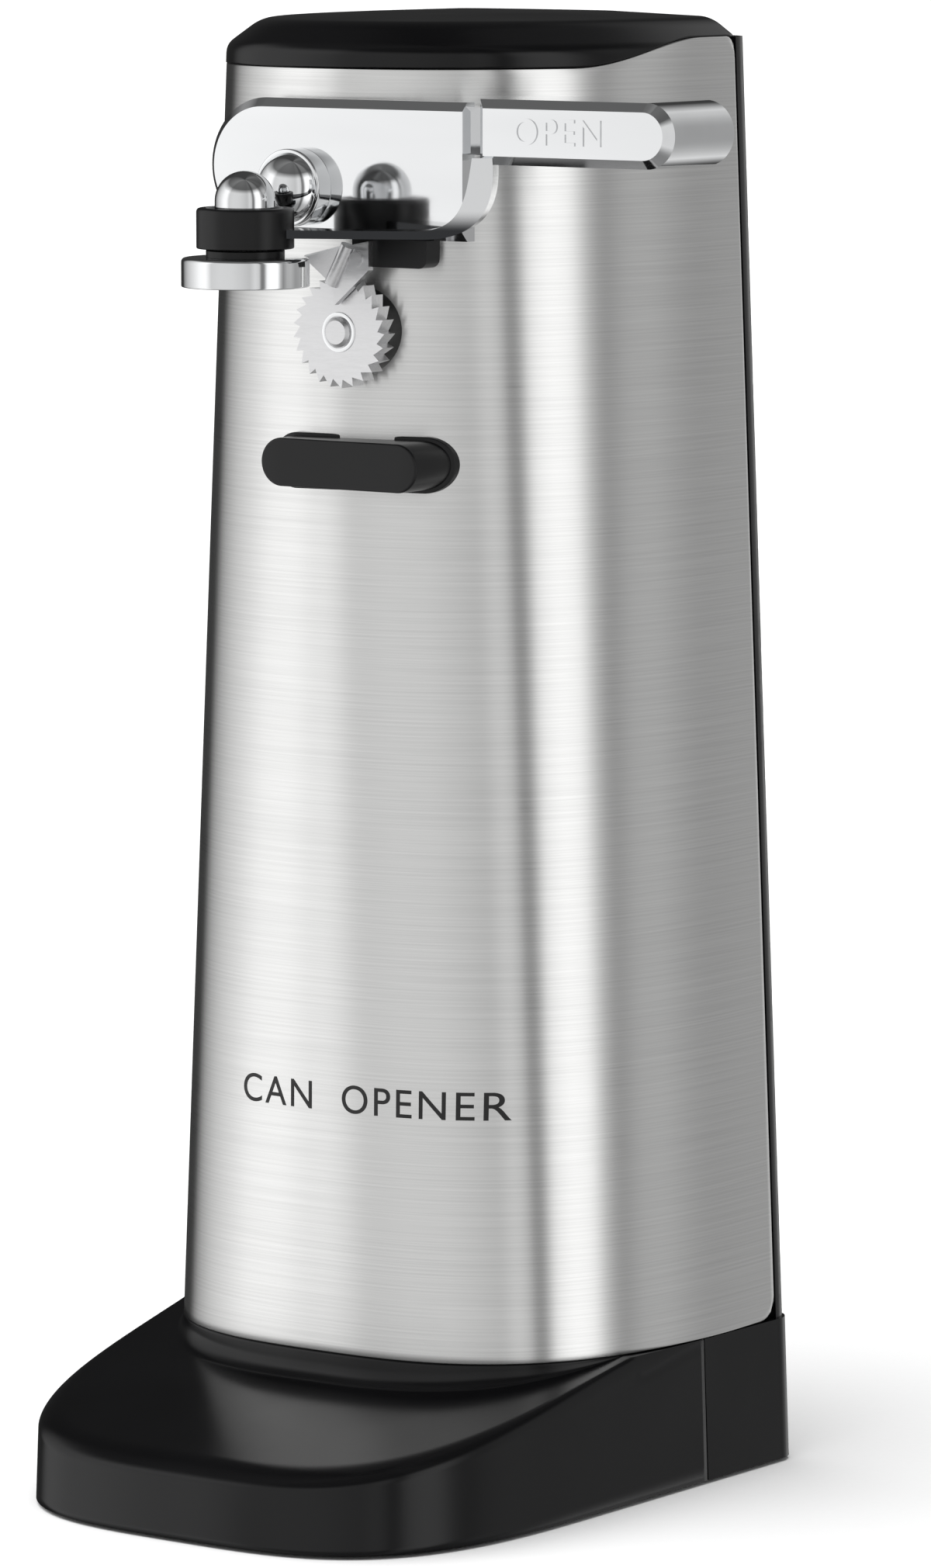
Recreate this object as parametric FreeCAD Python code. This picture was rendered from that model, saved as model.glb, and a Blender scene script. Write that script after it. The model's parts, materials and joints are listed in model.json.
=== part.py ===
"""Electric can opener: a tall tapering housing on a foot, with a lifting cutting lever on its front.

Frame: millimetres, +Z up, the front faces -Y and +X is to the right seen from the front.  The origin is
on the table under the housing's centre plane.
"""
import FreeCAD, Part
import math
import os

V = FreeCAD.Vector
X_AXIS = V(1, 0, 0)
Y_AXIS = V(0, 1, 0)
Z_AXIS = V(0, 0, 1)

# ---------------------------------------------------------------- driving dimensions
# overall
total_height = 240.0
cap_height = 8.0
plinth_height = 24.25
foot_rim_height = 12.6
foot_slope_deg = 10.2

# housing plan: half a superellipse in front of the edge plane, a shallower one behind it
body_width_bottom = 94.8
body_width_top = 79.8
body_depth_bottom = 64.6
body_depth_top = 60.4
body_power_bottom = 2.87
body_power_top = 2.36
edge_y_bottom = 34.0
edge_y_top = 31.7
back_depth = 9.5
back_power = 3.0

# base plan
base_width_front = body_width_bottom - 2.6
base_width_back = body_width_bottom + 2.9
base_wide_y = -13.7
base_reach = 56.05
base_power = 3.4
base_draft = 0.9
base_seam_y = 13.3
seam_gap = 0.3

# walls and gaps
steel_wall = 0.8
plastic_wall = 2.2
skin_gap = 0.1
trim_gap = 0.3
rest_gap = 0.6
plate_wall = 1.8
foot_ring_width = 5.0
foot_ring_inset = 4.5

# top cap
cap_edge_height = 3.0
cap_chamfer_run = 5.4
cap_crown = 0.7
cap_crown_run = 24.0
cap_back_run = 3.0
cap_rise = 4.3
cap_rise_start_y = -6.0
cap_rise_end_y = 22.0

# can gear on the front: the drive wheel's axis sets where everything else sits
drive_x = 7.6
drive_z = 190.5
wheel_radius = 8.9
wheel_teeth = 25
tooth_depth = 1.35
wheel_width = 3.0
wheel_front_y = -34.3
drive_shaft_radius = 2.4
shaft_proud = 0.9
boss_radius = 7.2
boss_gap = 0.4
running_clearance = 0.05
part_gap = 0.3

guide_z = 169.3
guide_length = 30.4
guide_height = 7.8
guide_front_y = -34.6
guide_flange_proud = 0.6
guide_flange_thick = 1.2
guide_screw_cover = 2.5

# lever
pivot_x = -0.2
pivot_z = 213.3
pivot_shaft_radius = 2.5
knob_radius = 6.2
knob_length = 3.4
knob_dome = 4.2
knob_step = 0.6
friction_washer_radius = 5.5
friction_washer_thick = 0.9
plate_front_y = -34.0
plate_thick = 3.4
plate_left_x = -18.5
plate_bottom_z = 205.5
plate_top_z = 227.3
lever_chamfer = 1.4
neck_start_x = 30.3
handle_start_x = 36.3
handle_end_x = 72.5
handle_front_y = -37.7
handle_back_y = -19.5
handle_bottom_z = 217.9
handle_top_z = 228.1
lever_lift_deg = 32.0

# cutting blade and its carrier
carrier_left_x = 10.5
carrier_right_x = 24.9
carrier_height = 4.4
carrier_corner = 1.6
carrier_front_y = wheel_front_y - part_gap
carrier_top_z = plate_bottom_z
blade_thick = 1.2
blade_rivet_radius = 0.9
blade_rivet_head = 0.35
blade_pin_x = 12.2
blade_pin_z = 202.3
blade_tip = (7.9, 194.9)
blade_bend_top = (10.6, 204.4)
blade_bend_low = (7.3, 198.2)
blade_wing = (3.2, 202.8)
blade_right_x = 14.5
blade_low_right_z = 200.6
blade_bend_deg = 28.0

# magnet
magnet_x = 2.7
magnet_y = -52.5
magnet_cup_radius = 10.1
magnet_cup_top_z = 203.1
magnet_cup_height = 4.6
magnet_cup_wall = 0.9
magnet_float = 1.0
holder_radius = 7.7
holder_bottom_z = 204.5
holder_height = 6.4
collar_radius = 6.2
collar_height = 1.2
collar_gap = 0.4
dome_radius = 4.8
dome_height = 5.8
rivet_radius = 1.8
arm_strip_width = 6.0
arm_strip_thick = 1.3
arm_neck_thick = 3.2
arm_root_x = 36.9
arm_root_y = -35.9
arm_root_z = 219.0
arm_level_z = 206.9

# gear train: modules, teeth and the direction of each next axis
output_module = 0.9
output_teeth = 36
output_pinion_teeth = 12
middle_module = 0.8
middle_teeth = 45
middle_pinion_teeth = 12
first_module = 0.6
first_teeth = 54
motor_pinion_teeth = 12
output_to_middle_deg = -115.0
middle_to_first_deg = -80.0
first_to_motor_deg = -97.0
gear_backlash = 0.12
gear_plate_thick = 1.6
front_plate_y = -16.4
plane_a_y = -13.4
plane_a_width = 5.0
plane_b_y = -7.6
plane_b_width = 3.4
plane_c_y = -3.4
plane_c_width = 3.0
rear_plate_y = 1.0
idler_pin_radius = 1.5
gear_plate_width = 44.0

# motor
core_width = 52.0
core_depth = 20.0
core_above = 20.0
core_below = 40.0
core_front_y = 7.6
rotor_radius = 12.0
air_gap = 0.4
motor_shaft_radius = 2.0
limb_height = 14.0
window_height = 11.0
coil_width = 30.0
coil_build = 8.0
bracket_thick = 2.6
bracket_gap = 2.0
bracket_height = 15.0

# switch
cam_radius = 4.6
cam_offset = 1.6
cam_rest_deg = 110.0
cam_y = -19.0
cam_width = 4.0
cam_clearance = 0.15
plunger_radius = 1.2
switch_width = 19.0
switch_height = 8.4
switch_depth = 8.0
switch_z = 222.0

# fasteners
screw_radius = 1.5
screw_head_radius = 2.8
screw_head_height = 1.8
hole_gap = 0.2
thread_core = 0.85
frame_post_radius = 3.6
frame_post_end_y = -22.5
bush_wall = 1.6
boss_spigot_wall = 2.2
cover_post_front_y = 12.0
cover_post_back_y = 28.0
cover_screw_seat_y = 36.0
cover_screw_length = 18.0

# back features
sharpener_z = 205.0
sharpener_width = 34.0
sharpener_height = 18.0
sharpener_slot = 4.6
stone_radius = 6.0
stone_thick = 2.4
bottle_z = 150.0
bottle_width = 34.0
bottle_height = 30.0
bottle_frame = 5.0
bottle_plate_thick = 1.8
bottle_seat_depth = 0.4
bottle_tooth_width = 10.0
vent_count = 7
vent_low_z = 58.0
vent_pitch = 6.5
vent_length = 40.0
vent_height = 2.4
back_cut_y = 30.0
opener_rivet_radius = 1.5
gland_z = 13.0
gland_radius = 4.5
cord_radius = 3.2

# half length of a cutting tool that runs right through everything
far = 120.0


# ---------------------------------------------------------------- outlines
def blend(low, high, z):
    """A value that runs evenly from the plinth's top to the cap's bottom edge."""
    share = (z - plinth_height) / (total_height - cap_height - plinth_height)
    return low + (high - low) * share


def edge_y(z):
    return blend(edge_y_bottom, edge_y_top, z)


def body_half_width(z):
    return blend(body_width_bottom, body_width_top, z) / 2


def arc_share(step, count):
    return math.pi * step / count


def power(value, exponent):
    return math.copysign(abs(value) ** exponent, value)


def body_front(z, inset, count=36):
    """Points of the front half: |x/a|^n + |(edge-y)/b|^n = 1, right to left."""
    a = body_half_width(z) - inset
    b = blend(body_depth_bottom, body_depth_top, z) - inset
    n = blend(body_power_bottom, body_power_top, z)
    points = []
    for step in range(count + 1):
        t = arc_share(step, count)
        x = a * power(math.cos(t), 2 / n)
        y = edge_y(z) - b * math.sin(t) ** (2 / n)
        points.append(V(x, y, z))
    points[0] = V(a, edge_y(z), z)
    points[-1] = V(-a, edge_y(z), z)
    return points


def body_back(z, inset, depth, count=24):
    """Points of the back half, left to right."""
    a = body_half_width(z) - inset
    points = []
    for step in range(count + 1):
        t = math.pi + arc_share(step, count)
        x = a * power(math.cos(t), 2 / back_power)
        y = edge_y(z) + depth * abs(math.sin(t)) ** (2 / back_power)
        points.append(V(x, y, z))
    points[0] = V(-a, edge_y(z), z)
    points[-1] = V(a, edge_y(z), z)
    return points


def spline(points):
    curve = Part.BSplineCurve()
    curve.interpolate(points)
    return curve.toShape()


def closed(points_sets):
    """A closed wire through the given splines, with straight lines where two ends are apart."""
    edges = []
    for index, points in enumerate(points_sets):
        edges.append(spline(points) if len(points) > 2 else Part.makeLine(points[0], points[1]))
        last = points[-1]
        first = points_sets[(index + 1) % len(points_sets)][0]
        if last.distanceToPoint(first) > 1e-6:
            edges.append(Part.makeLine(last, first))
    return Part.Wire(edges)


def body_wire(z, inset, depth):
    return closed([body_front(z, inset), body_back(z, inset, depth)])


def body_solid(z_low, z_high, inset):
    """The whole housing between two heights, set in by the given wall."""
    sections = [body_wire(z, inset, back_depth - inset) for z in (z_low, z_high)]
    return Part.makeLoft(sections, True, True)


def front_solid(z_low, z_high, inset, reach_back):
    """The front half only, carried back past the edge plane by reach_back."""
    sections = []
    for z in (z_low, z_high):
        front = body_front(z, inset)
        back = [front[-1] + V(0, reach_back, 0), front[0] + V(0, reach_back, 0)]
        sections.append(closed([front, back]))
    return Part.makeLoft(sections, True, True)


def base_outline(z, inset, count=40):
    """Base plan: a superellipse nose whose width grows evenly towards the back."""
    draft = base_draft * z / plinth_height
    half_front = base_width_front / 2
    half_back = base_width_back / 2
    grow = (half_back - half_front) / (edge_y_bottom - base_wide_y)

    def half_width(y):
        return half_front + grow * (y - base_wide_y) - draft - inset

    nose = []
    for step in range(count + 1):
        t = arc_share(step, count)
        y = base_wide_y - (base_reach - draft - inset) * math.sin(t) ** (2 / base_power)
        nose.append(V(half_width(y) * power(math.cos(t), 2 / base_power), y, z))
    nose[0] = V(half_width(base_wide_y), base_wide_y, z)
    nose[-1] = V(-half_width(base_wide_y), base_wide_y, z)
    tail = []
    half = half_width(edge_y_bottom)
    depth = back_depth + 0.4 - inset - draft * 0.4
    for step in range(25):
        t = math.pi + arc_share(step, 24)
        x = half * power(math.cos(t), 2 / back_power)
        tail.append(V(x, edge_y_bottom + depth * abs(math.sin(t)) ** (2 / back_power), z))
    tail[0] = V(-half, edge_y_bottom, z)
    tail[-1] = V(half, edge_y_bottom, z)
    return closed([nose, tail])


def base_solid(z_low, z_high, inset):
    return Part.makeLoft([base_outline(z_low, inset), base_outline(z_high, inset)], True, True)


# ---------------------------------------------------------------- simple solids
def box(x0, x1, y0, y1, z0, z1):
    return Part.makeBox(x1 - x0, y1 - y0, z1 - z0, V(x0, y0, z0))


def rod(radius, x, z, y0, y1):
    """A cylinder along Y."""
    return Part.makeCylinder(radius, y1 - y0, V(x, y0, z), Y_AXIS)


def post(radius, x, y, z0, z1):
    """A cylinder along Z."""
    return Part.makeCylinder(radius, z1 - z0, V(x, y, z0), Z_AXIS)


def stadium(x, z, length, height, y0, y1):
    """A round-ended bar along X, between two Y planes."""
    r = height / 2
    half = length / 2 - r
    ends = rod(r, x - half, z, y0, y1).fuse(rod(r, x + half, z, y0, y1))
    return ends.fuse(box(x - half, x + half, y0, y1, z - r, z + r)).removeSplitter()


def fuse_all(shapes):
    whole = shapes[0]
    if len(shapes) > 1:
        whole = whole.multiFuse(shapes[1:])
    return whole.removeSplitter()


def polar(x, z, radius, angle_deg):
    angle = math.radians(angle_deg)
    return x + radius * math.cos(angle), z + radius * math.sin(angle)


def screw(x, z, head_y, length, toward):
    """A pan-head screw along Y; toward is +1 when its tip points to +Y."""
    head = rod(screw_head_radius, x, z, min(head_y, head_y + toward * screw_head_height),
               max(head_y, head_y + toward * screw_head_height))
    tip = head_y + toward * (screw_head_height + length)
    root = head_y + toward * screw_head_height
    return head.fuse(rod(screw_radius, x, z, min(root, tip), max(root, tip))).removeSplitter()


# ---------------------------------------------------------------- gears
def gear(teeth, module, width, phase_deg, x, z, y):
    """An involute spur gear on an axis along Y; one tooth's middle is at phase_deg from +X."""
    pressure = math.radians(20)
    pitch_r = teeth * module / 2
    base_r = pitch_r * math.cos(pressure)
    tip_r = pitch_r + module * 0.92
    root_r = pitch_r - module * 1.22
    start_r = max(base_r, root_r)

    def involute(r):
        """Angle that an involute flank has turned through at radius r."""
        alpha = math.acos(min(1.0, base_r / r))
        return math.tan(alpha) - alpha

    half_pitch = math.pi / (2 * teeth) - gear_backlash / (2 * pitch_r)
    half_at_pitch = half_pitch + involute(pitch_r)
    flank_radii = [start_r + (tip_r - start_r) * step / 4 for step in range(5)]

    def at(r, angle):
        return V(x + r * math.cos(angle), y, z + r * math.sin(angle))

    edges = []
    pitch_angle = 2 * math.pi / teeth
    for tooth in range(teeth):
        middle = math.radians(phase_deg) + tooth * pitch_angle
        rising = [at(r, middle - half_at_pitch + involute(r)) for r in flank_radii]
        falling = [at(r, middle + half_at_pitch - involute(r)) for r in reversed(flank_radii)]
        root_half = half_at_pitch - involute(start_r)
        foot_in = at(root_r, middle - root_half)
        foot_out = at(root_r, middle + root_half)
        next_foot = at(root_r, middle + pitch_angle - root_half)
        if start_r > root_r + 1e-6:
            edges.append(Part.makeLine(foot_in, rising[0]))
        edges.append(spline(rising))
        edges.append(Part.Arc(rising[-1], at(tip_r, middle), falling[0]).toShape())
        edges.append(spline(falling))
        if start_r > root_r + 1e-6:
            edges.append(Part.makeLine(falling[-1], foot_out))
        valley = at(root_r, middle + pitch_angle / 2)
        edges.append(Part.Arc(foot_out, valley, next_foot).toShape())
    return Part.Face(Part.Wire(edges)).extrude(V(0, width, 0))


def half_tooth(teeth):
    return 180.0 / teeth


output_centre = (drive_x, drive_z)
middle_centre = polar(*output_centre, (output_teeth + output_pinion_teeth) * output_module / 2,
                      output_to_middle_deg)
first_centre = polar(*middle_centre, (middle_teeth + middle_pinion_teeth) * middle_module / 2,
                     middle_to_first_deg)
motor_centre = polar(*first_centre, (first_teeth + motor_pinion_teeth) * first_module / 2,
                     first_to_motor_deg)
gear_plate_high = drive_z + 13.5
gear_plate_low = motor_centre[1] - 14.0
rear_plate_end = rear_plate_y + gear_plate_thick
front_plate_end = front_plate_y + gear_plate_thick


# ---------------------------------------------------------------- housing
housing_outer = body_solid(plinth_height, total_height, 0.0)
skin_surface = body_solid(plinth_height, total_height, -skin_gap)
pivot_bush_radius = pivot_shaft_radius + bush_wall
pivot_hole = rod(2 * pivot_bush_radius - pivot_shaft_radius, pivot_x, pivot_z, -far, 0)
boss_spigot_radius = drive_shaft_radius + boss_spigot_wall
drive_hole = rod(boss_spigot_radius + skin_gap, drive_x, drive_z, -far, 0)
guide_screw_offsets = (-guide_length / 4, guide_length / 4)


def guide_holes(radius):
    return [rod(radius, drive_x + dx, guide_z, -far, core_front_y) for dx in guide_screw_offsets]


def cap_line_solid(offset):
    """Everything above the cap's lower edge, which sweeps up towards the back."""
    low = total_height - cap_height + offset
    high = low + cap_rise
    middle = (cap_rise_start_y + cap_rise_end_y) / 2
    wide = 200
    front = V(-wide / 2, -wide, low)
    start = V(-wide / 2, cap_rise_start_y, low)
    end = V(-wide / 2, cap_rise_end_y, high)
    curve = Part.BezierCurve()
    curve.setPoles([start, V(-wide / 2, middle, low), V(-wide / 2, middle, high), end])
    edges = [Part.makeLine(front, start), curve.toShape()]
    back = V(-wide / 2, wide, high)
    top_back = V(-wide / 2, wide, low + 60)
    top_front = V(-wide / 2, -wide, low + 60)
    edges.append(Part.makeLine(end, back))
    edges.append(Part.makeLine(back, top_back))
    edges.append(Part.makeLine(top_back, top_front))
    edges.append(Part.makeLine(top_front, front))
    return Part.Face(Part.Wire(edges)).extrude(V(wide, 0, 0))


def make_steel_wrap():
    wrap = front_solid(plinth_height, total_height, 0.0, 0.0)
    wrap = wrap.cut(front_solid(plinth_height - 1, total_height + 1, steel_wall, 6.0))
    wrap = wrap.cut(cap_line_solid(0.0))
    holes = [pivot_hole, drive_hole] + guide_holes(screw_radius + hole_gap)
    return wrap.cut(Part.Compound(holes))


def cover_screw_places():
    """Where the rear cover's screws meet posts on the inner frame's side walls."""
    places = []
    for z in (48.0, 196.0):
        x = body_half_width(z) - steel_wall - plastic_wall - 4.0
        places += [(x, z), (-x, z)]
    return places


def gear_boss_places():
    """Screws that hold the front gear plate to the inner frame's bosses."""
    half = gear_plate_width / 2 - 5
    low = gear_plate_low + 6
    return [(-half, drive_z + 8.5), (half, first_centre[1]), (-half, low), (half, low)]


frame_low = plinth_height + 0.5
frame_high = total_height - cap_height - 1.5


def make_inner_frame():
    inset = steel_wall + skin_gap
    outer = front_solid(frame_low, frame_high, inset, -1.0)
    frame = outer.cut(front_solid(frame_low - 1, frame_high + 1, inset + plastic_wall, 8.0))
    posts = []
    for x, z in cover_screw_places():
        sign = math.copysign(1, x)
        wall_x = x + sign * 8
        rib = box(min(x, wall_x), max(x, wall_x), cover_post_front_y, cover_post_back_y, z - 2, z + 2)
        posts.append(rod(frame_post_radius, x, z, cover_post_front_y, cover_post_back_y).fuse(rib))
    for x, z in gear_boss_places():
        posts.append(rod(frame_post_radius, x, z, -far, front_plate_y))
    posts.append(rod(pivot_bush_radius + 2.8, pivot_x, pivot_z, -far, frame_post_end_y))
    posts.append(rod(boss_spigot_radius + 2.4, drive_x, drive_z, -far, frame_post_end_y))
    posts = fuse_all(posts).common(front_solid(frame_low, frame_high, inset + plastic_wall / 2, 0.0))
    frame = frame.fuse(posts)
    drills = [rod(screw_radius, x, z, cover_post_front_y + 2, far) for x, z in cover_screw_places()]
    drills += [rod(screw_radius * thread_core, x, z, frame_post_end_y - 2.5, 0)
               for x, z in gear_boss_places()]
    drills += [rod(pivot_bush_radius, pivot_x, pivot_z, -far, 0)]
    drills += [rod(boss_spigot_radius, drive_x, drive_z, -far, 0)]
    drills += guide_holes(screw_radius + hole_gap)
    return frame.cut(Part.Compound(drills))


def base_top_plane(lift):
    """Half space above the foot's sloping top."""
    front_y = base_wide_y - base_reach
    block = box(-150, 150, 0, 400, 0, 200)
    block.rotate(V(0, 0, 0), X_AXIS, foot_slope_deg)
    block.translate(V(0, front_y - 60, foot_rim_height + lift - 60 * math.tan(math.radians(foot_slope_deg))))
    return block


def base_shell(z_top_inner):
    """The whole base as one hollow body before it is split at the seam."""
    top = plinth_height - skin_gap
    outer = base_solid(rest_gap, top, 0.0).cut(base_top_plane(0.0))
    plinth = body_solid(rest_gap, top, 0.0)
    outer = outer.fuse(plinth.common(base_solid(rest_gap, top, 0.0))).removeSplitter()
    hollow = base_solid(rest_gap - 1, top + 2, plastic_wall).cut(base_top_plane(-plastic_wall))
    hollow = hollow.fuse(body_solid(rest_gap - 1, z_top_inner, plastic_wall))
    return outer.cut(hollow)


def make_front_base(base):
    return base.common(box(-90, 90, -120, base_seam_y - seam_gap / 2, -5, 60))


def make_rear_cover(base):
    low = plinth_height - skin_gap
    shell = body_solid(low, total_height, 0.0)
    shell = shell.cut(body_solid(low - 1, total_height + 1, plastic_wall))
    shell = shell.cut(front_solid(low - 1, total_height + 1, -5.0, trim_gap))
    shell = shell.cut(cap_line_solid(-skin_gap))
    lip = front_solid(low, total_height - cap_height, steel_wall + skin_gap, trim_gap + 0.6)
    lip = lip.cut(front_solid(low - 1, total_height, steel_wall + skin_gap + plastic_wall, 8.0))
    lip = lip.cut(box(-90, 90, -120, edge_y_top - 3.2, -5, 300))
    lip = lip.cut(front_solid(frame_low - 2, frame_high + 3, -1.0, -0.7))
    band = base.common(box(-90, 90, base_seam_y + seam_gap / 2, 120, -5, 60))
    cover = fuse_all([shell, lip, band])
    bosses = []
    cuts = []
    for x, z in cover_screw_places():
        bosses.append(rod(frame_post_radius, x, z, cover_post_back_y + skin_gap, far))
        cuts.append(rod(screw_head_radius + 2 * hole_gap, x, z, cover_screw_seat_y, far))
        cuts.append(rod(screw_radius + hole_gap, x, z, 0, far))
    bosses = fuse_all(bosses).common(body_solid(low, total_height, 0.2))
    cover = cover.fuse(bosses)
    half_width = sharpener_width / 2 + skin_gap
    half_height = sharpener_height / 2 + skin_gap
    slot = box(-half_width, half_width, back_cut_y, far,
               sharpener_z - half_height, sharpener_z + half_height)
    half_width = bottle_width / 2
    low_z = bottle_z - bottle_height / 2
    high_z = bottle_z + bottle_height / 2
    mouth = box(-half_width + bottle_frame - 1, half_width - bottle_frame + 1, back_cut_y, far,
                low_z + bottle_frame - 1, high_z - 2 * bottle_frame + 1)
    seat_y = edge_y(bottle_z) + back_depth - bottle_seat_depth
    seat = box(-half_width - skin_gap, half_width + skin_gap, seat_y, far, low_z - skin_gap, high_z + skin_gap)
    gland = rod(gland_radius, 0, gland_z, back_cut_y, far)
    rivet_holes = [rod(opener_rivet_radius, x, z, back_cut_y, far) for x, z in opener_rivet_places()]
    vents = []
    for step in range(vent_count):
        vents.append(stadium(0, vent_low_z + step * vent_pitch, vent_length, vent_height, back_cut_y, far))
    cuts += [slot, mouth, seat, gland] + rivet_holes + vents
    return cover.cut(Part.Compound(cuts)).removeSplitter()


def make_top_cap():
    """Black cap: an upright edge, a wide chamfer and a slightly crowned top."""
    low = total_height - cap_height
    shoulder = low + cap_edge_height
    brow = total_height - cap_crown
    edge = body_solid(low - 2, shoulder, -0.1)
    brow_wire = body_wire(brow, cap_chamfer_run, back_depth - cap_back_run)
    slope = Part.makeLoft([body_wire(shoulder, -0.1, back_depth + 0.1), brow_wire], True, True)
    crown_wire = body_wire(total_height, cap_crown_run, back_depth - 2 * cap_back_run)
    crown = Part.makeLoft([brow_wire, crown_wire], True, True)
    cap = fuse_all([edge, slope, crown]).common(cap_line_solid(skin_gap))
    inner = body_solid(low - 3, shoulder, plastic_wall + 0.4)
    return cap.cut(inner).removeSplitter()


def make_base_plate():
    plate = base_solid(rest_gap + 1.4, rest_gap + 1.4 + plate_wall, plastic_wall + part_gap)
    rib = base_solid(rest_gap + 1.4, rest_gap + 1.4 + plate_wall, foot_ring_inset)
    groove = rib.cut(base_solid(rest_gap, 8, foot_ring_inset + foot_ring_width))
    groove = groove.common(box(-90, 90, -120, 120, 0, rest_gap + 2.2))
    holes = [post(screw_radius + hole_gap, x, y, 0, plinth_height) for x, y in base_screw_places()]
    return plate.cut(groove).cut(Part.Compound(holes))


def make_foot_ring():
    ring = base_solid(0.0, rest_gap + 2.2, foot_ring_inset + 0.05)
    return ring.cut(base_solid(-1.0, 8, foot_ring_inset + foot_ring_width - 0.05))


def base_screw_places():
    return [(-24.0, -34.0), (24.0, -34.0), (-27.0, 20.0), (27.0, 20.0)]


def make_base_screws():
    screws = []
    for x, y in base_screw_places():
        head = post(screw_head_radius, x, y, rest_gap + 0.4, rest_gap + 1.4)
        screws.append(head.fuse(post(screw_radius, x, y, rest_gap + 1.4, rest_gap + 9.0)))
    return Part.Compound(screws)


def make_cover_screws():
    return Part.Compound([screw(x, z, cover_screw_seat_y + screw_head_height, cover_screw_length, -1)
                          for x, z in cover_screw_places()])


# ---------------------------------------------------------------- back fittings
def make_sharpener_guide():
    w = sharpener_width / 2
    h = sharpener_height / 2
    y_edge = edge_y(sharpener_z)
    guide = box(-w, w, y_edge - 16, y_edge + back_depth + 10, sharpener_z - h, sharpener_z + h)
    guide = guide.common(body_solid(plinth_height, total_height, 0.2))
    guide = guide.cut(box(-w + 2, w - 2, y_edge - 14, y_edge + 3, sharpener_z - h + 2, sharpener_z + h - 2))
    slots = []
    for side in (-1, 1):
        x = side * w / 2
        slots.append(box(x - sharpener_slot / 2, x + sharpener_slot / 2, y_edge - 20, 80,
                         sharpener_z - h + 3.4, sharpener_z + h + 1))
    return guide.cut(Part.Compound(slots)).removeSplitter()


def make_stone(side):
    """One whetstone disc, standing beside its slot on the guide's floor."""
    x = side * sharpener_width / 4 + side * (sharpener_slot / 2 + stone_thick / 2 + 0.4)
    y = edge_y(sharpener_z) - 6
    start = V(x - stone_thick / 2, y, sharpener_z)
    return Part.makeCylinder(stone_radius, stone_thick, start, X_AXIS)


def make_bottle_opener():
    """A hooked steel plate set over a mouth in the rear cover."""
    y = edge_y(bottle_z) + back_depth
    front = y - bottle_seat_depth + hole_gap
    back = front + bottle_plate_thick
    w = bottle_width / 2
    low_z = bottle_z - bottle_height / 2
    high_z = bottle_z + bottle_height / 2
    plate = box(-w, w, front, back, low_z, high_z)
    mouth = box(-w + bottle_frame, w - bottle_frame, 0, far, low_z + bottle_frame, high_z - 2 * bottle_frame)
    tooth = box(-bottle_tooth_width / 2, bottle_tooth_width / 2, front, back,
                high_z - 2.5 * bottle_frame, high_z - 2 * bottle_frame + 1)
    plate = plate.cut(mouth).fuse(tooth)
    holes = [rod(opener_rivet_radius, x, z, 0, far) for x, z in opener_rivet_places()]
    plate = plate.cut(Part.Compound(holes))
    return plate.removeSplitter()


def opener_rivet_places():
    z = bottle_z + bottle_height / 2 - 4
    return [(-12.0, z), (12.0, z)]


def make_opener_rivets():
    y = edge_y(bottle_z) + back_depth
    rivets = []
    for x, z in opener_rivet_places():
        shank = rod(opener_rivet_radius, x, z, y - plastic_wall + 0.1, y + 1.6)
        rivets.append(shank.fuse(rod(opener_rivet_radius + 1.1, x, z, y + 1.6, y + 2.5)))
    return Part.Compound(rivets)


# ---------------------------------------------------------------- guide and boss
def make_guide_post():
    flange = stadium(drive_x, guide_z, guide_length + 2 * guide_flange_proud,
                     guide_height + 2 * guide_flange_proud, guide_front_y + 1, -10)
    flange = flange.common(body_solid(plinth_height, total_height, -guide_flange_thick))
    bar = stadium(drive_x, guide_z, guide_length, guide_height, guide_front_y, -10)
    post_solid = bar.fuse(flange).cut(skin_surface)
    blind_holes = [rod(screw_radius, drive_x + dx, guide_z, guide_front_y + guide_screw_cover, 0)
                   for dx in guide_screw_offsets]
    return post_solid.cut(Part.Compound(blind_holes)).removeSplitter()


def front_y(x, z, inset):
    """Y of the housing's front surface at a place, set in by the given wall."""
    a = body_half_width(z) - inset
    b = blend(body_depth_bottom, body_depth_top, z) - inset
    n = blend(body_power_bottom, body_power_top, z)
    return edge_y(z) - b * (1 - abs(x / a) ** n) ** (1 / n)


def make_guide_screws():
    """Screws from inside the inner frame into the guide's blind holes."""
    screws = []
    for dx in guide_screw_offsets:
        x = drive_x + dx
        inner_wall = steel_wall + skin_gap + plastic_wall
        seat = front_y(abs(x) + screw_head_radius, guide_z, inner_wall) + skin_gap
        length = seat - guide_front_y - guide_screw_cover - part_gap
        screws.append(screw(x, guide_z, seat + screw_head_height, length, -1))
    return Part.Compound(screws)


def make_wheel_boss():
    front = wheel_front_y + wheel_width + boss_gap
    boss = rod(boss_radius, drive_x, drive_z, front, -20).cut(skin_surface)
    spigot = rod(boss_spigot_radius, drive_x, drive_z, front, frame_post_end_y)
    bore = rod(drive_shaft_radius + running_clearance, drive_x, drive_z, front - 1, 0)
    return boss.fuse(spigot).cut(bore).removeSplitter()


# ---------------------------------------------------------------- drive wheel
def make_drive_wheel():
    """Saw-toothed disc: each tooth has one steep side and one long back."""
    pitch = 2 * math.pi / wheel_teeth
    points = []
    for tooth in range(wheel_teeth):
        angle = tooth * pitch
        for radius, share in ((wheel_radius, 0.0), (wheel_radius - tooth_depth, 0.16)):
            turn = angle + share * pitch
            points.append(V(drive_x + radius * math.cos(turn), wheel_front_y,
                            drive_z + radius * math.sin(turn)))
    points.append(points[0])
    wheel = Part.Face(Part.makePolygon(points)).extrude(V(0, wheel_width, 0))
    return wheel.cut(rod(drive_shaft_radius, drive_x, drive_z, -far, 0))


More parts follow.
